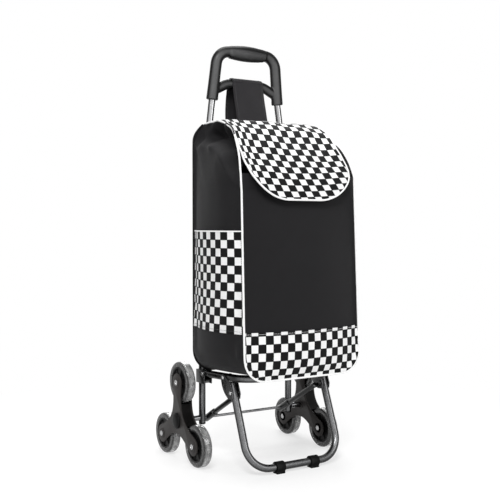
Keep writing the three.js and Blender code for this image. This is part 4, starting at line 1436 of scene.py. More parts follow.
@dataclass
class WheelStars:
    """Both three-armed stars with their wheels."""

    star_radius: float = 0.0888
    room: float = 0.0125
    cheek: float = 0.0032
    arm_end: float = 0.021
    waist: float = 0.011
    waist_at: float = 0.02
    wheel_radius: float = 0.0475
    hub_radius: float = 0.036
    tyre_half: float = 0.011
    pegs: int = 10
    peg: float = 0.0046
    peg_ring: float = 0.0392
    spokes: int = 8
    cap_radius: float = 0.0185
    bolt_head: Point = (0.0064, 0.0024)

    def build(self, shop: Workshop) -> None:
        """Makes both stars and all six wheels."""
        for side in Side:
            self.star(shop, side)
            for place in Place:
                self.wheel(shop, side, place)

    def arm(self, side: Side, place: Place) -> Point:
        """The (y, z) of a wheel's centre, from its tyre's box."""
        centre, _ = boxed(f"tyre_{side.word}_{place.word}")
        return centre.y, centre.z

    def outline(self, inset: float) -> list[Point]:
        """The star's outline about the axle, as (y, z) offsets, drawn in by inset."""
        end, waist = self.arm_end - inset, self.waist - inset
        rise = self.star_radius - self.waist_at
        turn = math.atan2(rise, waist) - math.acos(end / math.hypot(rise, waist))
        points: list[Point] = []

        def along(angle: float, radial: float, lateral: float) -> Vector:
            c, s = math.cos(angle), math.sin(angle)
            return Vector((radial * c - lateral * s, radial * s + lateral * c))

        arms = [math.radians(a) for a in (90, 210, 330)]
        for index, arm in enumerate(arms):
            following = arms[(index + 1) % 3]
            centre = along(arm, self.star_radius, 0.0)
            for a in np.linspace(arm - math.pi / 2 - turn, arm + math.pi / 2 + turn, 40):
                points.append((centre.x + end * math.cos(a), centre.y + end * math.sin(a)))
            p0 = Vector(points[-1])
            p1 = along(arm, self.waist_at, waist)
            p2 = along(following, self.waist_at, -waist)
            p3 = along(following, self.star_radius - end * math.sin(turn), -end * math.cos(turn))
            for t in np.linspace(0, 1, 26)[1:-1]:
                u = 1 - t
                p = p0 * u**3 + p1 * 3 * u * u * t + p2 * 3 * u * t * t + p3 * t**3
                points.append((p.x, p.y))
        return points

    def star(self, shop: Workshop, side: Side) -> None:
        """One star: two cheeks with their bosses and walls, cap, and bolts."""
        finishes, word, sign = shop.finishes, side.word, side.value
        body = f"star_{word}"
        track = boxed(f"tyre_{word}_top")[0].x
        axle = Vector((track, AXLE_CENTRE.y, AXLE_CENTRE.z))
        for half, outward in (("outer", sign), ("inner", -sign)):
            form = Form()
            outline = [(axle.y + y, axle.z + z) for y, z in self.outline(0.0)]
            face = self.room + self.cheek
            form.plate(outline, *sorted(track + outward * x for x in (self.room, face)), 0.0009)
            boss = [
                (0.0039, 0.0002), (0.0118, 0.0002), (0.0118, face), (0.0112, face + 0.0005),
                (0.0039, face + 0.0005),
            ]
            form.turned(boss, axle, outward, 48, joined=True)
            for place in Place:
                y, z = self.arm(side, place)
                centre = Vector((track, y, z))
                rise = 0.001 if half == "outer" else 0.0
                seat = [
                    (0.0043, self.room - 0.0002), (0.012, self.room - 0.0002),
                    (0.012, face + rise - 0.0004), (0.0115, face + rise), (0.0043, face + rise),
                ]
                form.turned(seat, centre, outward, 48, joined=True)
            self.walls(form, side, axle, outward)
            node = f"star_shell_{half}_{word}"
            shop.put(f"star_{half}_{word}", form, finishes.star, body, "star_plastic", node)
        self.cap(shop, side)
        for place in Place:
            self.bolt(shop, side, place)

    def walls(self, form: Form, side: Side, axle: Vector, outward: float) -> None:
        """The walls that join a cheek to the middle, clear of the wheels."""
        outer, inner = self.outline(0.002), self.outline(0.0046)
        hubs = [Vector(self.arm(side, place)) for place in Place]
        clear = self.wheel_radius + 0.0028
        kept = [
            min((Vector((axle.y + y, axle.z + z)) - hub).length for hub in hubs) > clear
            for y, z in outer
        ]
        count = len(outer)
        start = next(i for i in range(count) if kept[i] and not kept[i - 1])
        run: list[int] = []
        for step in range(count + 1):
            i = (start + step) % count
            if kept[i] and step < count:
                run.append(i)
                continue
            if len(run) > 2:
                x0, x1 = outward * 0.0002, outward * (self.room + 0.001)
                corners = ((x0, outer), (x1, outer), (x1, inner), (x0, inner))
                form.loft([[axle + Vector((x, *line[k])) for x, line in corners] for k in run])
            run = []

    def cap(self, shop: Workshop, side: Side) -> None:
        """The domed hub cap with a moulded groove."""
        node = f"hub_cap_{side.word}"
        low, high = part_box(node)
        start = low if side is Side.RIGHT else high
        centre = Vector((start.x, AXLE_CENTRE.y, AXLE_CENTRE.z))
        r, h = self.cap_radius, high.x - low.x
        profile = [
            (0.0042, 0.0), (r - 0.0004, 0.0), (r, 0.0004), (r, h * 0.28), (r - 0.0007, h * 0.42),
            (r * 0.88, h * 0.66), (r * 0.83, h * 0.72), (r * 0.80, h * 0.67), (r * 0.77, h * 0.74),
            (r * 0.62, h * 0.87), (r * 0.4, h * 0.96), (r * 0.18, h * 0.995), (0.0, h),
        ]
        form = Form().turned([(0.0, 0.0001)] + profile, centre, side.value, 72)
        mesh, body = form.mesh(node + "_form", 50.0), f"star_{side.word}"
        shop.place(
            f"star_cap_{side.word}", mesh, shop.finishes.black, body, "black_plastic", (node,)
        )

    def bolt(self, shop: Workshop, side: Side, place: Place) -> None:
        """A pan-head bolt with a cross recess outside and a nut inside."""
        node = f"wheel_bolt_{side.word}_{place.word}"
        middle, size = boxed(node)
        centre, half = Vector((middle.x, *self.arm(side, place))), size.x
        radius, height = self.bolt_head
        dome = [
            (radius, half - height), (radius, half - height * 0.62),
            (radius * 0.93, half - height * 0.34), (radius * 0.76, half - height * 0.1),
            (radius * 0.45, half), (radius * 0.3, half), (radius * 0.22, half - 0.0009),
            (0.0, half - 0.0012),
        ]
        shank = [(0.0, -half), (0.0034, -half), (0.004, 0.0006 - half), (0.004, half - height)]
        form = Form().turned(shank + dome, centre, side.value, 48)
        nut = [
            (0.0041, -half + 0.0003), (radius * 0.9, -half + 0.0003),
            (radius * 1.03, -half + 0.0009), (radius * 1.03, height - half),
            (0.0041, height - half),
        ]
        form.turned(nut, centre, side.value, 6, joined=True)
        name, body = f"bolt_{side.word}_{place.word}", f"star_{side.word}"
        shop.put(name, form, shop.finishes.steel, body, "bright_steel", node)

    def wheel(self, shop: Workshop, side: Side, place: Place) -> None:
        """One wheel: clear tyre, dark hub and the pegs that key them."""
        name = f"{side.word}_{place.word}"
        centre, _ = boxed(f"tyre_{name}")
        body, finishes = f"wheel_{name}", shop.finishes
        inside, outside, half = self.hub_radius + 0.0003, self.wheel_radius, self.tyre_half
        round_off = [
            (outside - 0.0046 + 0.0046 * math.cos(a), half - 0.0052 + 0.0052 * math.sin(a))
            for a in np.linspace(0, math.pi / 2, 9)
        ]
        right = [
            (inside + 0.006, 0.0023), (inside, 0.0023), (inside, half - 0.0006),
            (inside + 0.0006, half),
        ] + round_off[::-1]
        form = Form().turned(mirrored(right) + right, centre, 1.0, 96, joined=True)
        tyre = form.mesh(f"tyre_{body}", 40.0)
        shop.place(f"tyre_ring_{name}", tyre, finishes.tyre, body, "clear_tyre", (f"tyre_{name}",))
        hub, node = self.hub(centre), f"wheel_hub_{name}"
        shop.place(f"hub_{name}", hub, finishes.hub, body, "hub_plastic", (node,))
        turns = np.linspace(0, 2 * math.pi, self.pegs * 4, endpoint=False)
        ring = [centre + ray(a) * self.peg_ring for a in turns]
        pitch = 2 * math.pi * self.peg_ring / self.pegs
        row = Repeat(pitch * 0.9999, (self.peg, self.peg, self.peg), 20)
        pegs = row.grow(ring, True, finishes.peg, seed=3)
        shop.place(f"hub_pegs_{name}", pegs, finishes.peg, body, "hub_plastic")

    def hub(self, centre: Vector) -> Mesh:
        """A dished hub with a keyed flange, a boss and spokes on each side."""
        rim, boss = self.tyre_half - 0.001, self.room - 0.0003
        web = rim - 0.004
        right = [
            (0.0043, boss), (0.0094, boss), (0.01, boss - 0.0006), (0.0108, web),
            (self.hub_radius - 0.0044, web), (self.hub_radius - 0.0038, rim - 0.0005),
            (self.hub_radius - 0.0034, rim), (self.hub_radius - 0.0004, rim),
            (self.hub_radius, rim - 0.0004), (self.hub_radius, 0.002),
            (self.hub_radius + 0.006, 0.0018),
        ]
        form = Form().turned(right + mirrored(right), centre, 1.0, 96, joined=True)
        for outward in (-1, 1):
            low, high = outward * (web - 0.0004), outward * (web + 0.0021)
            section = ((low, 1.0), (high, 0.7), (high, -0.7), (low, -1.0))
            for k in range(self.spokes):
                angle = 2 * math.pi * k / self.spokes + 0.2
                wide = ray(angle + math.pi / 2) * 0.0011
                ends = [centre + ray(angle) * r for r in (0.0104, self.hub_radius - 0.0042)]
                form.loft([[p + wide * w + Vector((x, 0, 0)) for x, w in section] for p in ends])
        return form.mesh("hub_form")


# ------------------------------------------------------------------ bag


def eased(t: np.ndarray | float) -> np.ndarray | float:
    """0 to 1 with soft ends, for t from 0 to 1."""
    t = np.clip(t, 0.0, 1.0)
    return t * t * (3 - 2 * t)


def lengths_of(line: np.ndarray) -> np.ndarray:
    """How far along it each of a line's points lies."""
    return np.concatenate([[0.0], np.cumsum(np.linalg.norm(np.diff(line, axis=0), axis=1))])


def paired(first: np.ndarray, second: np.ndarray) -> np.ndarray:
    """Two arrays, spread to one shape, as pairs on a last axis."""
    return np.stack(np.broadcast_arrays(first, second), axis=-1)


def fringe(grid: np.ndarray) -> np.ndarray:
    """A grid's rim, from its top left corner down, along its foot and up to the top right."""
    return np.concatenate([grid[::-1, 0], grid[0, 1:-1], grid[:, -1]])


def woven(piece: Piece, thickness: float, offset: float, wall_first: bool = False) -> None:
    """Gives a piece of cloth its thickness and rounds its mesh.

    Args:
        piece: The piece.
        thickness: The cloth's thickness.
        offset: -1 where the sheet is the cloth's outer face, 0 where it is its middle.
        wall_first: Whether the thickness is rounded too.
    """
    for kind in ("SOLIDIFY", "SUBSURF") if wall_first else ("SUBSURF", "SOLIDIFY"):
        modifier = piece.modifiers.new(kind.lower(), kind)
        if kind == "SOLIDIFY":
            modifier.thickness, modifier.offset = thickness, offset
        else:
            modifier.levels = modifier.render_levels = 1
            modifier.boundary_smooth = "ALL" if wall_first else "PRESERVE_CORNERS"


def along_profile(profile: Sequence[Point], lengths: np.ndarray) -> np.ndarray:
    """The points at given lengths along a smooth curve through (y, z) pairs.

    Args:
        profile: The curve's points.
        lengths: Shares from 0 to 1 of its whole length.

    Returns:
        An array of the lengths' shape with a last axis of y and z.
    """
    line = smooth_line([Vector((0.0, y, z)) for y, z in profile], 16)
    flat = np.array([(p.y, p.z) for p in line])
    run = lengths_of(flat)
    share = np.asarray(lengths) * run[-1]
    return paired(np.interp(share, run, flat[:, 0]), np.interp(share, run, flat[:, 1]))


class Panel(Enum):
    """The bag's three cuts."""

    FRONT = "front"
    GUSSET = "gusset"
    BACK = "back"


@dataclass
class SoftShell:
    """The bag's cloth: a front and a back panel with a gusset of sides and base between them."""

    half: float = 0.152
    front_at: Triple = (-0.24, 0.27, 0.0515)
    hem: float = 0.213
    front_top: float = 0.655
    rear: float = -0.01525
    corner: float = 0.05
    rails: tuple[float, float] = (0.2062, 0.065)
    hang: float = 0.0088
    rows: int = 50
    arc: int = 6
    flat: int = 26
    depth: int = 26
    left_top: tuple[Triple, ...] = (
        (-0.1495, -0.2202, 0.655), (-0.1487, -0.2145, 0.687), (-0.1478, -0.206, 0.711),
        (-0.1466, -0.1945, 0.733), (-0.1447, -0.184, 0.7465), (-0.1424, -0.17, 0.7575),
        (-0.1405, -0.149, 0.7675), (-0.139, -0.126, 0.7725), (-0.139, -0.1, 0.774),
        (-0.139, -0.072, 0.773), (-0.139, -0.0405, 0.772),
    )
    right_top: tuple[Triple, ...] = (
        (0.152, -0.2202, 0.655), (0.1515, -0.212, 0.6725), (0.151, -0.197, 0.696),
        (0.15, -0.171, 0.7225), (0.148, -0.14, 0.7405), (0.145, -0.108, 0.7555),
        (0.141, -0.074, 0.767), (0.139, -0.0405, 0.772),
    )
    back_line: tuple[Point, ...] = (
        (-0.01525, 0.2071), (-0.01525, 0.35), (-0.01525, 0.52), (-0.01525, 0.66), (-0.0158, 0.735),
        (-0.0222, 0.762), (-0.0405, 0.774),
    )
    filling: tuple[Point, ...] = (
        (0.0, 0.0), (0.01, 0.36), (0.024, 0.66), (0.045, 0.88), (0.075, 1.0),
        (0.24, 1.0), (0.32, 0.86), (0.38, 0.56), (0.442, 0.28),
    )
    leaning: tuple[Point, ...] = ((0.28, 0.0), (0.535, 0.018), (0.617, 0.024), (0.655, 0.0164))
    back_length: float = 0.5826
    belly: float = 0.0272
    flank: float = 0.031
    swell: float = 0.006
    frames: int = 26
    shoulder: float = 0.07

    def front_y(self, z: np.ndarray | float) -> np.ndarray | float:
        """The front panel's flat y at height z."""
        y, height, lean = self.front_at
        return y + lean * (z - height)

    def base_z(self, y: np.ndarray | float, share: np.ndarray | float) -> np.ndarray | float:
        """The base's height at y, a share of the way back from the front."""
        return self.rails[0] - self.rails[1] * y - self.hang * (1 - eased(share / 0.14))

    def outline(self) -> tuple[np.ndarray, np.ndarray]:
        """x and bottom z of the panels' columns, with the lower corners round."""
        turn = np.linspace(0, math.pi / 2, self.arc + 1)
        left = -(self.half - self.corner) - self.corner * np.cos(turn)
        low = self.hem + self.corner * (1 - np.sin(turn))
        middle = np.linspace(left[-1], -left[-1], self.flat + 1)[1:-1]
        x = np.concatenate([left, middle, -left[::-1]])
        z = np.concatenate([low, np.full(len(middle), self.hem), low[::-1]])
        return x, z

    def front(self) -> Sheet:
        """The filled front panel, from its hem up, with the flat cut it was sewn from."""
        x, low = self.outline()
        share = np.linspace(0, 1, self.rows + 1)[:, None]
        z = low[None] + (self.front_top - low[None]) * share
        fill = np.interp(z - low[None], *zip(*self.filling))
        lean_in = np.interp(z, *zip(*self.leaning))
        wide = x[None] * (1 - lean_in * (x[None] < 0))
        bulge = self.belly * fill * (1 - np.abs(x[None] / self.half) ** 2.35)
        points = np.stack([wide, AXLE_CENTRE.y + self.front_y(z) - bulge, z], axis=-1)
        middle = points.shape[1] // 2
        across, upright = lengths_of(points[self.rows // 3]), lengths_of(points[:, middle])
        level = points[:, middle, 2]
        v = np.interp(z, level, upright - np.interp(0.3, level, upright) + 0.3)
        return Sheet(points, paired(across[None], v))

    def back(self) -> Sheet:
        """The back panel with its shoulder, from its hem up."""
        x, low = self.outline()
        share = np.linspace(0, 1, self.rows + 1)[:, None]
        off = (low - self.hem)[None]
        length = off + (self.back_length - off) * share
        place = along_profile(self.back_line, length / self.back_length)
        wide = x[None] * (1 - self.shoulder * eased((place[..., 1] - 0.742) / 0.034))
        points = np.stack([wide, AXLE_CENTRE.y + place[..., 0], place[..., 1]], axis=-1)
        return Sheet(points, paired(wide, length + self.hem))

    def gusset(self, front: Sheet, back: Sheet) -> Sheet:
        """The strip from the front panel's edge to the back's, over one side, the base and up."""
        ahead, behind = fringe(front.points), fringe(back.points)
        count = len(ahead)
        share = np.linspace(0, 1, self.depth + 1)
        points = ahead[:, None] * (
            1 - share[None, :, None]
        ) + behind[:, None] * share[None, :, None]
        base = slice(self.rows + 1, count - 1 - self.rows)
        y = points[base, :, 1] - AXLE_CENTRE.y
        points[base, :, 2] = ahead[base, None, 2] - self.hem + self.base_z(y, share[None])
        for first, top in ((0, self.left_top), (count - 1 - self.rows, self.right_top)):
            block = points[first : first + self.rows + 1]
            up = np.linspace(
                1, 0, self.rows + 1
            ) if first == 0 else np.linspace(0, 1, self.rows + 1)
            low = block[int(np.argmin(up))].copy()
            low[:, 2] = self.base_z(low[:, 1] - AXLE_CENTRE.y, share) + self.corner
            line = smooth_line([at(*p) for p in top], 8)
            high = np.array([tuple(p) for p in evenly(line, self.depth + 1)])
            u, s = up[:, None, None], share[None, :, None]
            first_edge, last_edge = ((1 - u) * low[i] + u * high[i] for i in (0, -1))
            corners = (1 - s) * first_edge + s * last_edge
            block += (1 - u) * low + u * high - corners
        hump = 4 * share * (1 - share)
        z = points[..., 2]
        foot = 1 - np.clip((0.3 - z) / 0.088, 0, 1) ** 2
        climb = np.zeros(count)
        climb[: self.rows + 1] = np.linspace(1, 0, self.rows + 1)
        climb[count - 1 - self.rows :] = np.linspace(0, 1, self.rows + 1)
        start = 0.8 - 0.2 * share[None]
        head = 1 - np.clip((climb[:, None] - start) / (1 - start), 0, 1) ** 2
        side = np.abs(points[..., 0]) > self.half - self.corner
        past = (np.abs(points[..., 0]) - self.half + self.corner) / (0.6 * self.corner)
        fill = np.sqrt(np.clip(foot * head, 0, 1)) * side * np.clip(past, 0, 1)
        points[..., 0] += np.sign(points[..., 0]) * self.flank * hump[None] * fill
        run = lengths_of(points[:, self.depth // 2])
        depth = lengths_of(points[self.rows // 2])
        return Sheet(points, paired(depth[None], run[:, None]))

    def settle(self) -> dict[Panel, Sheet]:
        """Sews the three cuts together, fills them with air and lets them settle."""
        front, back = self.front(), self.back()
        gusset = self.gusset(front, back)
        sheets = {Panel.FRONT: front, Panel.GUSSET: gusset, Panel.BACK: back}
        self.crumple(sheets)
        ids, start = self.sew(sheets)
        after = self.inflate(ids, start)
        move = after - start
        size = np.linalg.norm(move, axis=1, keepdims=True)
        move *= np.minimum(1.0, self.swell / np.maximum(size, 1e-9))
        for panel, index in ids.items():
            shift = move[index]
            if panel is Panel.BACK:
                shift[..., 1] = np.clip(shift[..., 1], -0.006, 0.0035)
            sheets[panel].points = sheets[panel].points + shift
        return sheets

    def sew(self, sheets: dict[Panel, Sheet]) -> tuple[dict[Panel, np.ndarray], np.ndarray]:
        """Numbers the three cuts' points as one cloth whose seams share theirs."""
        front, gusset, back = (sheets[p].points for p in Panel)
        rows, columns = front.shape[:2]
        ids = {Panel.FRONT: np.arange(rows * columns).reshape(rows, columns)}
        ids[Panel.BACK] = ids[Panel.FRONT] + rows * columns
        inner = gusset[:, 1:-1]
        high, wide = inner.shape[:2]
        own = np.arange(high * wide).reshape(high, wide) + 2 * rows * columns
        seams = [fringe(ids[panel])[:, None] for panel in (Panel.FRONT, Panel.BACK)]
        ids[Panel.GUSSET] = np.concatenate([seams[0], own, seams[1]], axis=1)
        start = np.concatenate([front.reshape(-1, 3), back.reshape(-1, 3), inner.reshape(-1, 3)])
        return ids, start

    def inflate(self, ids: dict[Panel, np.ndarray], start: np.ndarray) -> np.ndarray:
        """Runs the cloth from its cut shape under a little pressure.

        Args:
            ids: Each panel's point numbers.
            start: The points.

        Returns:
            The points after the cloth has settled.
        """
        quads = []
        for panel, index in ids.items():
            four = quads_of(index)
            quads.append(four if panel is Panel.BACK else four[:, ::-1])
        mesh = bpy.data.meshes.new("bag_cloth")
        mesh.from_pydata(start.tolist(), [], np.concatenate(quads).tolist())
        made = bmesh.new()
        made.from_mesh(mesh)
        bmesh.ops.recalc_face_normals(made, faces=made.faces)
        made.to_mesh(mesh)
        made.free()
        host = bpy.data.objects.new("bag_cloth", mesh)
        bpy.context.scene.collection.objects.link(host)
        held = host.vertex_groups.new(name="held")
        gusset = ids[Panel.GUSSET]
        seams = (gusset[:, 0], gusset[:, -1], gusset[0], gusset[-1])
        hems = (ids[Panel.FRONT][-1], ids[Panel.BACK][-1])
        base = gusset[self.rows + 2 : -self.rows - 2].ravel()
        held.add(np.unique(np.concatenate([*seams, *hems, base])).tolist(), 1.0, "REPLACE")
        cloth = host.modifiers.new("cloth", "CLOTH")
        settings = cloth.settings
        settings.quality, settings.mass = 6, 0.35
        settings.tension_stiffness = settings.compression_stiffness = 18.0
        settings.shear_stiffness, settings.bending_stiffness = 6.0, 0.6
        settings.vertex_group_mass = "held"
        settings.use_pressure, settings.uniform_pressure_force = True, 1.6
        settings.shrink_min, settings.effector_weights.gravity = -0.012, 0.35
        cloth.collision_settings.use_collision = False
        scene = bpy.context.scene
        for clock in (scene, cloth.point_cache):
            clock.frame_start, clock.frame_end = 1, self.frames
        for frame in range(1, self.frames + 1):
            scene.frame_set(frame)
        graph = bpy.context.evaluated_depsgraph_get()
        settled = host.evaluated_get(graph).to_mesh()
        after = np.empty(len(start) * 3)
        settled.vertices.foreach_get("co", after)
        bpy.data.objects.remove(host)
        scene.frame_set(1)
        return after.reshape(-1, 3)

    def crumple(self, sheets: dict[Panel, Sheet]) -> None:
        """Gathers the sides' tops into folds and loosens the panels a little."""
        gusset = sheets[Panel.GUSSET]
        count, wide = gusset.points.shape[:2]
        share = np.linspace(0, 1, wide)[None]
        for side in Side:
            left = side is Side.LEFT
            reach = slice(self.rows + 1) if left else slice(count - 1 - self.rows, None)
            block = gusset.points[reach]
            up = np.linspace(int(left), int(not left), self.rows + 1)[:, None]
            phase = 0.4 if left else 1.7
            edge = np.sin(np.pi * share) ** 0.6
            near_top = eased((up - 0.86) / 0.08) * np.sqrt(np.clip((1 - up) / 0.025, 0, 1))
            long = np.abs(np.sin(math.pi * (4.3 * share + 2.5 * up) + phase))
            short = np.abs(np.sin(math.pi * (6.1 * share - 9.1 * up) + 2.3 * phase))
            folds = 1 - 2 * long + 0.7 - 1.4 * short
            sill = 0.905
            under = np.clip((1 - up) / (1 - sill), 0, 1) * (up > sill)
            ridge = np.exp(-(((sill - up) / 0.03) ** 2)) * (up <= sill)
            span = np.exp(-(((share - 0.5) / 0.38) ** 4))
            slow = np.sin(2 * math.pi * (1.3 * up + 0.6 * share) + phase) * np.sin(np.pi * up)
            push = edge * (0.009 * near_top * folds + 0.0012 * slow)
            block[..., 0] += side.value * (push + span * (0.002 * ridge - 0.07 * under))
        front = sheets[Panel.FRONT]
        rows, columns = front.points.shape[:2]
        v, u = np.meshgrid(np.linspace(0, 1, rows), np.linspace(0, 1, columns), indexing="ij")
        rest = (np.sin(np.pi * u) * np.sin(np.pi * v)) ** 0.7
        wave = np.sin(2 * math.pi * (1.6 * v + 0.5 * u) + 0.6) + 0.5 * np.sin(
            2 * math.pi * (2.3 * u - 0.9 * v) + 2.0
        )
        front.points[..., 1] -= rest * 0.0008 * wave
        base = gusset.points[self.rows + self.arc : -self.rows - self.arc]
        x = np.abs(base[..., 0]) / 0.104
        deep = np.sin(np.pi * share) ** 0.5
        base[..., 2] -= 0.0025 * np.clip(1 - x * x, 0, 1) * deep * (share > 0.22)


@dataclass
class Bag:
    """The dressed bag: shell, piping, chequered band and side pockets, seams and hems."""

    shell: SoftShell = field(default_factory=SoftShell)
    cloth: float = 0.0013
    patch: float = 0.001
    piping: float = 0.0022
    band_top: float = 0.318
    pocket: Point = (0.314, 0.532)
    tuck: float = 0.744
    pocket_margins: Point = (0.0015, 0.006)
    keep: float = 0.6
    rim: float = 0.775
    band_phase: Point = (-0.0151, -0.3108)
    pocket_phase: Point = (-0.002, -0.5138)
    pocket_print: float = 0.9
    panels: dict[Panel, Sheet] = field(default_factory=dict)

    def build(self, shop: Workshop) -> None:
        """Makes the whole bag."""
        self.panels = self.shell.settle()
        self.skins(shop)
        self.edges(shop)
        self.band(shop)
        for side in Side:
            self.side_pocket(shop, side)

    @staticmethod
    def crush(piece: Piece) -> None:
        """Gives a piece its own copy of its mesh."""
        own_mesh(piece)

    def skins(self, shop: Workshop) -> None:
        """The front panel, the gusset and the back panel."""
        front, gusset, back = (self.panels[p] for p in Panel)
        sides = ("bag_side_left", "bag_side_right", "bag_base")
        jobs = (
            ("bag_front_panel", self.outwards(front, -1), ("bag_front",), front),
            ("bag_gusset", self.outwards(gusset, 0), sides, gusset),
            ("bag_back_panel", self.outwards(back, 1), ("bag_back",), back),
        )
        for name, sheet, nodes, flat in jobs:
            mesh = sheet.mesh(name + "_form")
            piece = shop.place(name, mesh, shop.finishes.cloth, "rear_frame", "black_cloth", nodes)
            woven(piece, self.cloth, -1.0)
            self.crush(piece)
            flat.extent()
            flat.area()

    @staticmethod
    def outwards(sheet: Sheet, way: int) -> Sheet:
        """The sheet turned so that its face is outside.

        Args:
            sheet: The sheet.
            way: The sign of y that is outside, or 0 where away from the middle in x is.

        Returns:
            The sheet or its mirror.
        """
        mesh = sheet.mesh("probe")
        normals = np.empty(len(mesh.vertices) * 3)
        mesh.vertices.foreach_get("normal", normals)
        normals = normals.reshape(sheet.points.shape)
        bpy.data.meshes.remove(mesh)
        if way:
            facing = float(normals[..., 1].mean()) * way
        else:
            facing = float((normals[..., 0] * np.sign(sheet.points[..., 0])).mean())
        return sheet if facing > 0 else sheet.flipped()

    def edges(self, shop: Workshop) -> None:
        """White piping up the front panel's seams to the flap, and a dark binding at the back."""
        gusset = self.panels[Panel.GUSSET].points
        for panel, name, radius, finish, slot in (
            (Panel.FRONT, "bag_piping", self.piping, shop.finishes.piping, "check_cloth"),
            (Panel.BACK, "bag_binding", 0.0021, shop.finishes.cloth, "black_cloth"),
        ):
            shell, rim = self.shell, fringe(self.panels[panel].points)
            out = -1.0 if panel is Panel.FRONT else 1.0
            turn = shell.half - shell.corner
            moved = []
            for p in map(Vector, rim):
                away = Vector((p.x, 0.0, 0.0))
                if abs(p.x) < turn + 0.001:
                    away = Vector((0.0, 0.0, -1.0))
                elif p.z < shell.hem + shell.corner:
                    away = p - Vector((math.copysign(turn, p.x), p.y, shell.hem + shell.corner))
                aside = Vector((0.0, out * radius * 0.45, 0.0))
                moved.append(p + away.normalized() * radius * 0.35 + aside)
            if panel is Panel.FRONT:
                ends = []
                for row, x in ((0, -0.0009), (-1, 0.0009)):
                    low = [p for p in gusset[row, 1 : shell.depth // 2] if p[2] < self.tuck]
                    ends.append(vectors(low, (x, -0.0008, 0.0008)))
                moved = ends[0][::-1] + moved + ends[1]
            form = Form().tube(smooth_line(moved, 2), radius, sides=14, soft_end=radius * 0.5)
            mesh = form.mesh(name + "_form", CORD_CREASE)
            self.crush(shop.place(name, mesh, finish, "rear_frame", slot))

    def band(self, shop: Workshop) -> None:
        """The chequered band across the foot of the front panel."""
        panel = self.panels[Panel.FRONT]
        wide = panel.cut.shape[1]
        columns = np.linspace(0, wide - 1, 2 * wide - 1)
        low = np.interp(columns, np.arange(wide), self.shell.outline()[1])
        share = np.linspace(0.0, 1.0, 25)[:, None]
        tall = (self.band_top - low) / (self.shell.front_top - low)
        rows = share * tall[None] * self.shell.rows
        across = np.broadcast_to(columns[None], rows.shape)
        patch = panel.sampled(rows, across)
        lift = 0.0014 + 0.0011 * np.exp(-(((share - 0.985) / 0.04) ** 2)) * np.ones_like(rows)
        normal = patch.normals()
        normal = normal * np.where(normal[..., 1:2] > 0, -1.0, 1.0)
        moved = patch.points + normal * lift[..., None]
        raised = self.outwards(Sheet(moved, patch.cut + np.array(self.band_phase)), -1)
        mesh, check = raised.mesh("bag_band_form"), shop.finishes.check
        piece = shop.place("bag_band", mesh, check, "rear_frame", "check_cloth", ("front_band",))
        woven(piece, self.patch, -1.0)
        self.crush(piece)
        raised.extent()
        raised.area()
        top = vectors(raised.points[-1, 2:-2], (0.0, -0.0008, -0.0035))
        self.stitches(shop, "band_stitches", top, shop.finishes.piping)

    def stitches(self, shop: Workshop, name: str, line: Sequence[Vector], thread: Material) -> None:
        """A row of stitches along a line of the bag."""
        row = STITCHES.sewn(shop, name, line, thread, "rear_frame", "check_cloth", 7)
        self.crush(row)

    def side_pocket(self, shop: Workshop, side: Side) -> None:
        """One chequered side pocket with its hem, gaping a little at its mouth."""
        gusset = self.panels[Panel.GUSSET]
        rows = self.shell.rows
        block = gusset.points[: rows + 1][::-1] if side is Side.LEFT else gusset.points[-rows - 1 :]
        wall = Sheet(block, gusset.cut[: rows + 1])
        depth = block.shape[1] - 1
        length = float(gusset.cut[0, -1, 0])
        ahead, behind = (m / length * depth for m in self.pocket_margins)
        columns = np.linspace(ahead, depth - behind, 61)
        heights = np.linspace(self.pocket[0], self.pocket[1], 37)
        grid_rows = np.empty((len(heights), len(columns)))
        for j, column in enumerate(columns):
            c0 = int(min(column, depth - 1e-6))
            mix = column - c0
            z = block[:, c0, 2] * (1 - mix) + block[:, c0 + 1, 2] * mix
            grid_rows[:, j] = np.interp(heights, z, np.arange(rows + 1))
        across = np.broadcast_to(columns[None], grid_rows.shape)
        patch = wall.sampled(grid_rows, across)
        u = np.linspace(0, 1, len(columns))[None]
        v = np.linspace(0, 1, len(heights))[:, None]
        gape = 0.0042 * np.sin(np.pi * u) ** 0.8 * v**2.2
        ripple = 0.0006 * np.sin(2 * np.pi * (6.5 * u + 0.3 * v)) * eased((v - 0.55) / 0.45)
        lift = 0.0014 + gape + ripple * np.sin(np.pi * u)
        out = np.array([side.value, 0.0, 0.0])
        points = patch.points + out * lift[..., None]
        run = lengths_of(patch.points[len(heights) // 2])
        cut = paired(run[None] * self.pocket_print, heights[:, None])
        raised = self.outwards(Sheet(points, cut + np.array(self.pocket_phase)), 0)
        word, finishes = side.word, shop.finishes
        mesh, node = raised.mesh(f"pocket_{word}_form"), f"side_pocket_{word}"
        piece = shop.place(
            f"pocket_{word}", mesh, finishes.check, "rear_frame", "check_cloth", (node,)
        )
        woven(piece, self.patch, -1.0)
        self.crush(piece)
        raised.area()
        rim = smooth_line(vectors(points[-1], (side.value * 0.0002, 0.0, 0.0)), 2)
        hem = Form().tube(
            rim, 0.0015, sides=12, soft_end=0.0007
        ).mesh("pocket_hem_form", CORD_CREASE)
        name = f"pocket_hem_{word}"
        self.crush(shop.place(name, hem, finishes.piping, "rear_frame", "check_cloth"))
        edge = np.concatenate([points[:, 1][::-1], points[1, 2:-2], points[:, -2]])
        line = vectors(edge, (side.value * 0.0006, 0.0, 0.0))
        self.stitches(shop, f"pocket_stitches_{word}", line, finishes.dark_thread)


# ------------------------------------------------------------------ flap and strap


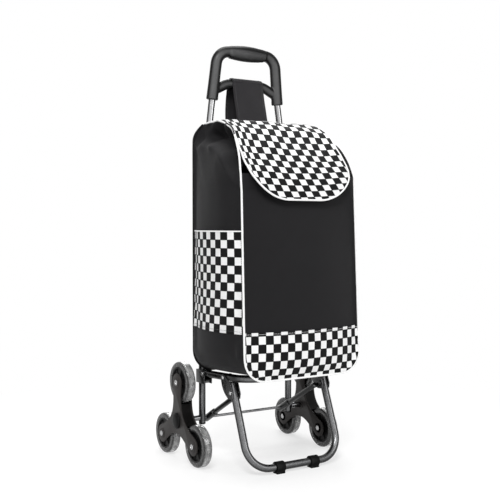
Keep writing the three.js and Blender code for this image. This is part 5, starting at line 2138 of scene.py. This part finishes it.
@dataclass
class Flap:
    """The chequered flap over the bag's mouth, with white piping round its edge."""

    half: float = 0.14
    pinch: float = 0.02
    corner: Point = (0.1, 0.098)
    line: tuple[Point, ...] = (
        (-0.042, 0.776), (-0.08, 0.7795), (-0.105, 0.78), (-0.126, 0.776), (-0.164, 0.757),
        (-0.185, 0.734), (-0.202, 0.711), (-0.218, 0.686), (-0.233, 0.659), (-0.242, 0.63),
        (-0.245, 0.6),
    )
    cloth: float = 0.0018
    piping: float = 0.0022
    middle: Point = (3.9, 6.28)
    flat: Point = (0.28, 0.3085)

    def sheet(self) -> Sheet:
        """The flap's surface, from its seam to its hem."""
        shares = np.linspace(0, 1, 400)
        profile = along_profile(self.line, shares)
        tip, (wide, high) = self.line[-1][1], self.corner
        start = float(np.interp(-(tip + high), -profile[:, 1][120:], shares[120:]))
        upper = np.linspace(0, start, 32)[:-1]
        turn = np.linspace(0, math.pi / 2, 17)
        z_goal = tip + high - high * np.sin(turn)
        lower = np.interp(-z_goal, -profile[120:, 1], shares[120:])
        rows = np.concatenate([upper, lower])
        lower_half = self.half - wide + wide * np.cos(turn)
        half = np.concatenate([np.full(len(upper), self.half), lower_half])
        spread = math.pi / 2 * 0.86
        u = np.sin(np.linspace(-1, 1, 45) * spread) / math.sin(spread)
        place = along_profile(self.line, rows)
        z = np.broadcast_to(place[:, 1:], (len(rows), len(u)))
        narrow = self.pinch * eased((z - 0.645) / 0.085) * np.clip(u, 0, 1)[None]
        x = half[:, None] * u[None] - narrow
        y = np.broadcast_to(place[:, :1], x.shape) + AXLE_CENTRE.y
        points = np.stack([x, y, z], axis=-1)
        return self.draped(Sheet(points, self.printed(x / self.half, rows * self.flat[1])), rows)

    def printed(self, across: np.ndarray, down: np.ndarray) -> np.ndarray:
        """Where each point lies on the printed cloth, which the seams pull out of true.

        Args:
            across: Each point's place from -1 at the left edge to 1 at the right.
            down: Each row's distance from the flap's seam.

        Returns:
            The points on the print, an even number of squares from its own corner.
        """
        wide, tall = Cloth.square
        down = ((down - 0.2) / 0.1)[:, None]
        sag = -0.5 * across * down - 0.5 * across**2
        gather = np.clip((-across - 0.7) / 0.3, 0.0, 1.0) ** 2
        column = self.middle[0] + 7.9 * across - 0.87 * down - 1.2 * down**2 + sag - 1.8 * gather
        skew = 0.13 * across + 0.26 * across * down + 0.58 * across**2
        row = self.middle[1] - 6.06 * down - down**2 - skew
        return paired(column * wide, row * tall)

    def draped(self, flat: Sheet, rows: np.ndarray) -> Sheet:
        """Lets the flap's edges droop and its field wave."""
        slope = np.gradient(flat.points[:, 22], axis=0)
        normal = np.stack([np.zeros(len(rows)), slope[:, 2], -slope[:, 1]], axis=-1)
        normal /= np.linalg.norm(normal, axis=1, keepdims=True)
        normal *= np.where(normal[:, 2:] + -normal[:, 1:2] < 0, -1.0, 1.0)
        x, v = flat.points[..., 0] / self.half, rows[:, None]
        field_in = np.sin(np.pi * np.clip(v, 0, 1)) ** 0.5
        crown = 0.0022 * (1 - x * x) * field_in
        droop = -0.0022 * np.abs(x) ** 5 * eased(v / 0.12)
        wave = 0.0011 * np.sin(2 * np.pi * (1.5 * x + 1.3 * v) + 0.8) * field_in
        wave = wave + 0.0007 * np.sin(2 * np.pi * (0.8 * x - 3.1 * v) + 2.2) * field_in
        pucker = 0.0006 * np.sin(2 * np.pi * 9 * v + 4 * x) * np.abs(x) ** 6 * eased(v / 0.1)
        lift = crown + droop + wave + pucker
        return Sheet(flat.points + normal[:, None] * lift[..., None], flat.cut)

    def build(self, shop: Workshop) -> None:
        """Makes the flap, its piping and its stitches."""
        sheet = self.sheet()
        mesh, finishes = Bag.outwards(sheet, -1).mesh("flap_form"), shop.finishes
        cloth = shop.place(
            "flap_cloth", mesh, finishes.flap_check, "flap", "check_cloth", ("flap",)
        )
        woven(cloth, self.cloth, 0.0)
        sheet.area()
        p = sheet.points
        rim = vectors(np.concatenate([p[:, 0], p[-1, 1:-1], p[::-1, -1]]))
        even, soft = evenly(smooth_line(rim, 3), 220), self.piping * 0.6
        cord = Form().tube(
            even, self.piping, sides=14, soft_end=soft
        ).mesh("flap_piping_form", CORD_CREASE)
        piping = shop.place("flap_piping", cord, finishes.piping, "flap", "check_cloth")
        left = p[:-1, 1] * 0.6 + p[:-1, 2] * 0.4
        right = p[:-1, -2] * 0.6 + p[:-1, -3] * 0.4
        line = smooth_line(vectors(np.concatenate([left, p[-2, 3:-3], right[::-1]])), 2)
        lifted = vectors(line, (0.0, -0.0009, 0.0009))
        name, thread = "flap_stitches", finishes.dark_thread
        row = STITCHES.sewn(shop, name, lifted, thread, "flap", "check_cloth", 5)
        for piece in (cloth, piping, row):
            Bag.crush(piece)


@dataclass
class Strap:
    """The wide carrying strap that loops over the handle's arch."""

    half: float = 0.043
    cloth: float = 0.0022
    arch: tuple[float, float, float, float] = (0.0058, 0.882, 0.01385, 0.01335)
    foot: tuple[Point, ...] = ((-0.031, 0.7733), (-0.0295, 0.784), (-0.027, 0.797))
    tail: tuple[Point, ...] = (
        (0.0262, 0.842), (0.0266, 0.806), (0.0195, 0.77), (-0.0035, 0.7445), (-0.0122, 0.73),
        (-0.0123, 0.69),
    )

    def build(self, shop: Workshop) -> None:
        """Makes the strap and its stitches."""
        y, z, deep, thick = self.arch
        over = [
            (y + deep * math.cos(math.radians(a)), z + thick * math.sin(math.radians(a)))
            for a in range(186, -11, -14)
        ]
        profile = self.foot + tuple(over) + self.tail
        rows = np.linspace(0, 1, 120)
        place = along_profile(profile, rows)
        u = np.linspace(-1, 1, 15)
        x = np.broadcast_to(self.half * u[None], (len(rows), len(u)))
        flat = np.broadcast_arrays(x, place[:, :1] + AXLE_CENTRE.y, place[:, 1:])
        points = np.stack(flat, axis=-1)
        run = float(lengths_of(place)[-1])
        loose = np.exp(-(((rows - 0.22) / 0.1) ** 2)) + np.exp(-(((rows - 0.72) / 0.12) ** 2))
        points[..., 1] += loose[:, None] * (
            0.0016 * u[None] ** 2 - 0.0006 * np.sin(3 * u[None] + 1)
        )
        sheet = Sheet(points, paired(x + self.half, (rows * run)[:, None]))
        mesh, webbing = Bag.outwards(sheet, -1).mesh("strap_form"), shop.finishes.strap
        piece = shop.place("strap_webbing", mesh, webbing, "rear_frame", "black_cloth", ("strap",))
        woven(piece, self.cloth, 0.0, wall_first=True)
        kept, normal, thread = slice(3, -3), sheet.normals(), shop.finishes.dark_thread
        for word, column in (("left", 1), ("right", -2)):
            for face, sign in (("front", 1.0), ("back", -1.0)):
                lift = normal[kept, column] * sign * self.cloth * 0.52
                line = vectors(sheet.points[kept, column] + lift)
                name = f"strap_stitches_{word}_{face}"
                STRAP_STITCHES.sewn(shop, name, line, thread, "rear_frame", "black_cloth", 9)


# ------------------------------------------------------------------ studio


@dataclass
class Studio:
    """A pale floor and backdrop, soft lamps, and the camera."""

    aim: Triple = (-0.02027, 0.01228, 0.48652)
    azimuth: float = 31.81
    pitch: float = 1.66
    distance: float = 2.03
    lens: float = 61.91
    ambient: float = 0.26
    lamps: tuple[tuple[str, Triple, Point, float], ...] = (
        ("key", (-1.4, -1.85, 2.5), (0.9, 0.9), 68.0), ("fill", (1.0, -2.4, 1.4), (1.0, 1.4), 15.0),
        ("top", (0.1, 0.3, 2.6), (1.4, 1.4), 40.0), ("rim", (1.2, 1.9, 1.6), (0.8, 1.6), 16.0),
    )

    def build(self) -> None:
        """Makes the scene round the trolley."""
        bpy.context.scene.view_settings.view_transform = "Standard"
        self.camera()
        self.sky()
        self.floor()
        for lamp in self.lamps:
            self.lamp(*lamp)

    def camera(self) -> None:
        """The camera, at the trolley's left front, a little above its middle."""
        turn, dip = math.radians(self.azimuth), math.radians(self.pitch)
        level = math.cos(dip)
        ahead = Vector((math.sin(turn) * level, math.cos(turn) * level, -math.sin(dip)))
        data = bpy.data.cameras.new("camera")
        data.sensor_width, data.lens = 36.0, self.lens
        data.clip_start, data.clip_end = 0.05, 60.0
        eye = bpy.data.objects.new("camera", data)
        eye.location = Vector(self.aim) - ahead * self.distance
        eye.rotation_euler = ahead.to_track_quat("-Z", "Y").to_euler()
        bpy.context.scene.collection.objects.link(eye)
        bpy.context.scene.camera = eye

    def sky(self) -> None:
        """A world that lights softly and shows white behind the trolley."""
        world = bpy.data.worlds.new("studio")
        bpy.context.scene.world = world
        world.use_nodes = True
        kit = TreeKit(world.node_tree)
        path = kit.node("ShaderNodeLightPath")
        seen = self.seen(kit, path)
        dim, bright = (
            kit.node("ShaderNodeBackground", None, {"Color": WHITE, "Strength": power}).outputs[0]
            for power in (self.ambient, 1.0)
        )
        both = kit.node("ShaderNodeMixShader", None, {0: seen, 1: dim, 2: bright})
        kit.node("ShaderNodeOutputWorld", None, {"Surface": both.outputs[0]})

    @staticmethod
    def seen(kit: TreeKit, path: bpy.types.Node) -> Sock:
        """1 for rays that come from the eye, a mirror or through glass."""
        names = ("Is Camera Ray", "Is Glossy Ray", "Is Transmission Ray")
        one, two, three = (kit.out(path, name) for name in names)
        return kit.maths("MAXIMUM", kit.maths("MAXIMUM", one, two), three)

    def floor(self) -> None:
        """A pale floor that keeps the trolley's shadow."""
        shade = Shade("studio_floor")
        path = shade.node("ShaderNodeLightPath")
        pale = shade.node("ShaderNodeBsdfDiffuse", None, {"Color": (0.96, 0.96, 0.96, 1.0)})
        glow = shade.node("ShaderNodeEmission", None, {"Color": WHITE, "Strength": 1.0})
        seen = self.seen(shade, path)
        x, y, _ = shade.split(shade.object_coords())
        share = seen * ((x * x + y * y).step(0.25, 1.2) * 0.36 + 0.64)
        mixed = {0: share, 1: pale.outputs[0], 2: glow.outputs[0]}
        both = shade.node("ShaderNodeMixShader", None, mixed)
        shade.node("ShaderNodeOutputMaterial", None, {"Surface": both.outputs[0]})
        mesh = bpy.data.meshes.new("studio_floor")
        corners = [(-14, -14, 0), (14, -14, 0), (14, 14, 0), (-14, 14, 0)]
        mesh.from_pydata(corners, [], [(0, 1, 2, 3)])
        mesh.materials.append(shade.material)
        floor = bpy.data.objects.new("studio_floor", mesh)
        bpy.context.scene.collection.objects.link(floor)

    def lamp(self, name: str, place: Triple, size: Point, power: float) -> None:
        """A soft rectangular lamp aimed at the middle of the trolley."""
        data = bpy.data.lights.new(name, "AREA")
        data.shape = "RECTANGLE"
        data.size, data.size_y = size
        data.energy = power
        lamp = bpy.data.objects.new(name, data)
        lamp.location = place
        towards = Vector((0, 0, 0.5)) - Vector(place)
        lamp.rotation_euler = towards.to_track_quat("-Z", "Y").to_euler()
        bpy.context.scene.collection.objects.link(lamp)


def main() -> None:
    """Builds every sub-assembly in order and reports the pieces."""
    shop = Workshop(Finishes.made())
    Studio().build()
    TubeFrame().build(shop)
    Handle().build(shop)
    WheelStars().build(shop)
    Bag().build(shop)
    Flap().build(shop)
    Strap().build(shop)
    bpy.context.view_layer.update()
    LOG.info("%d pieces", len(shop.made))


if __name__ == "__main__":
    main()
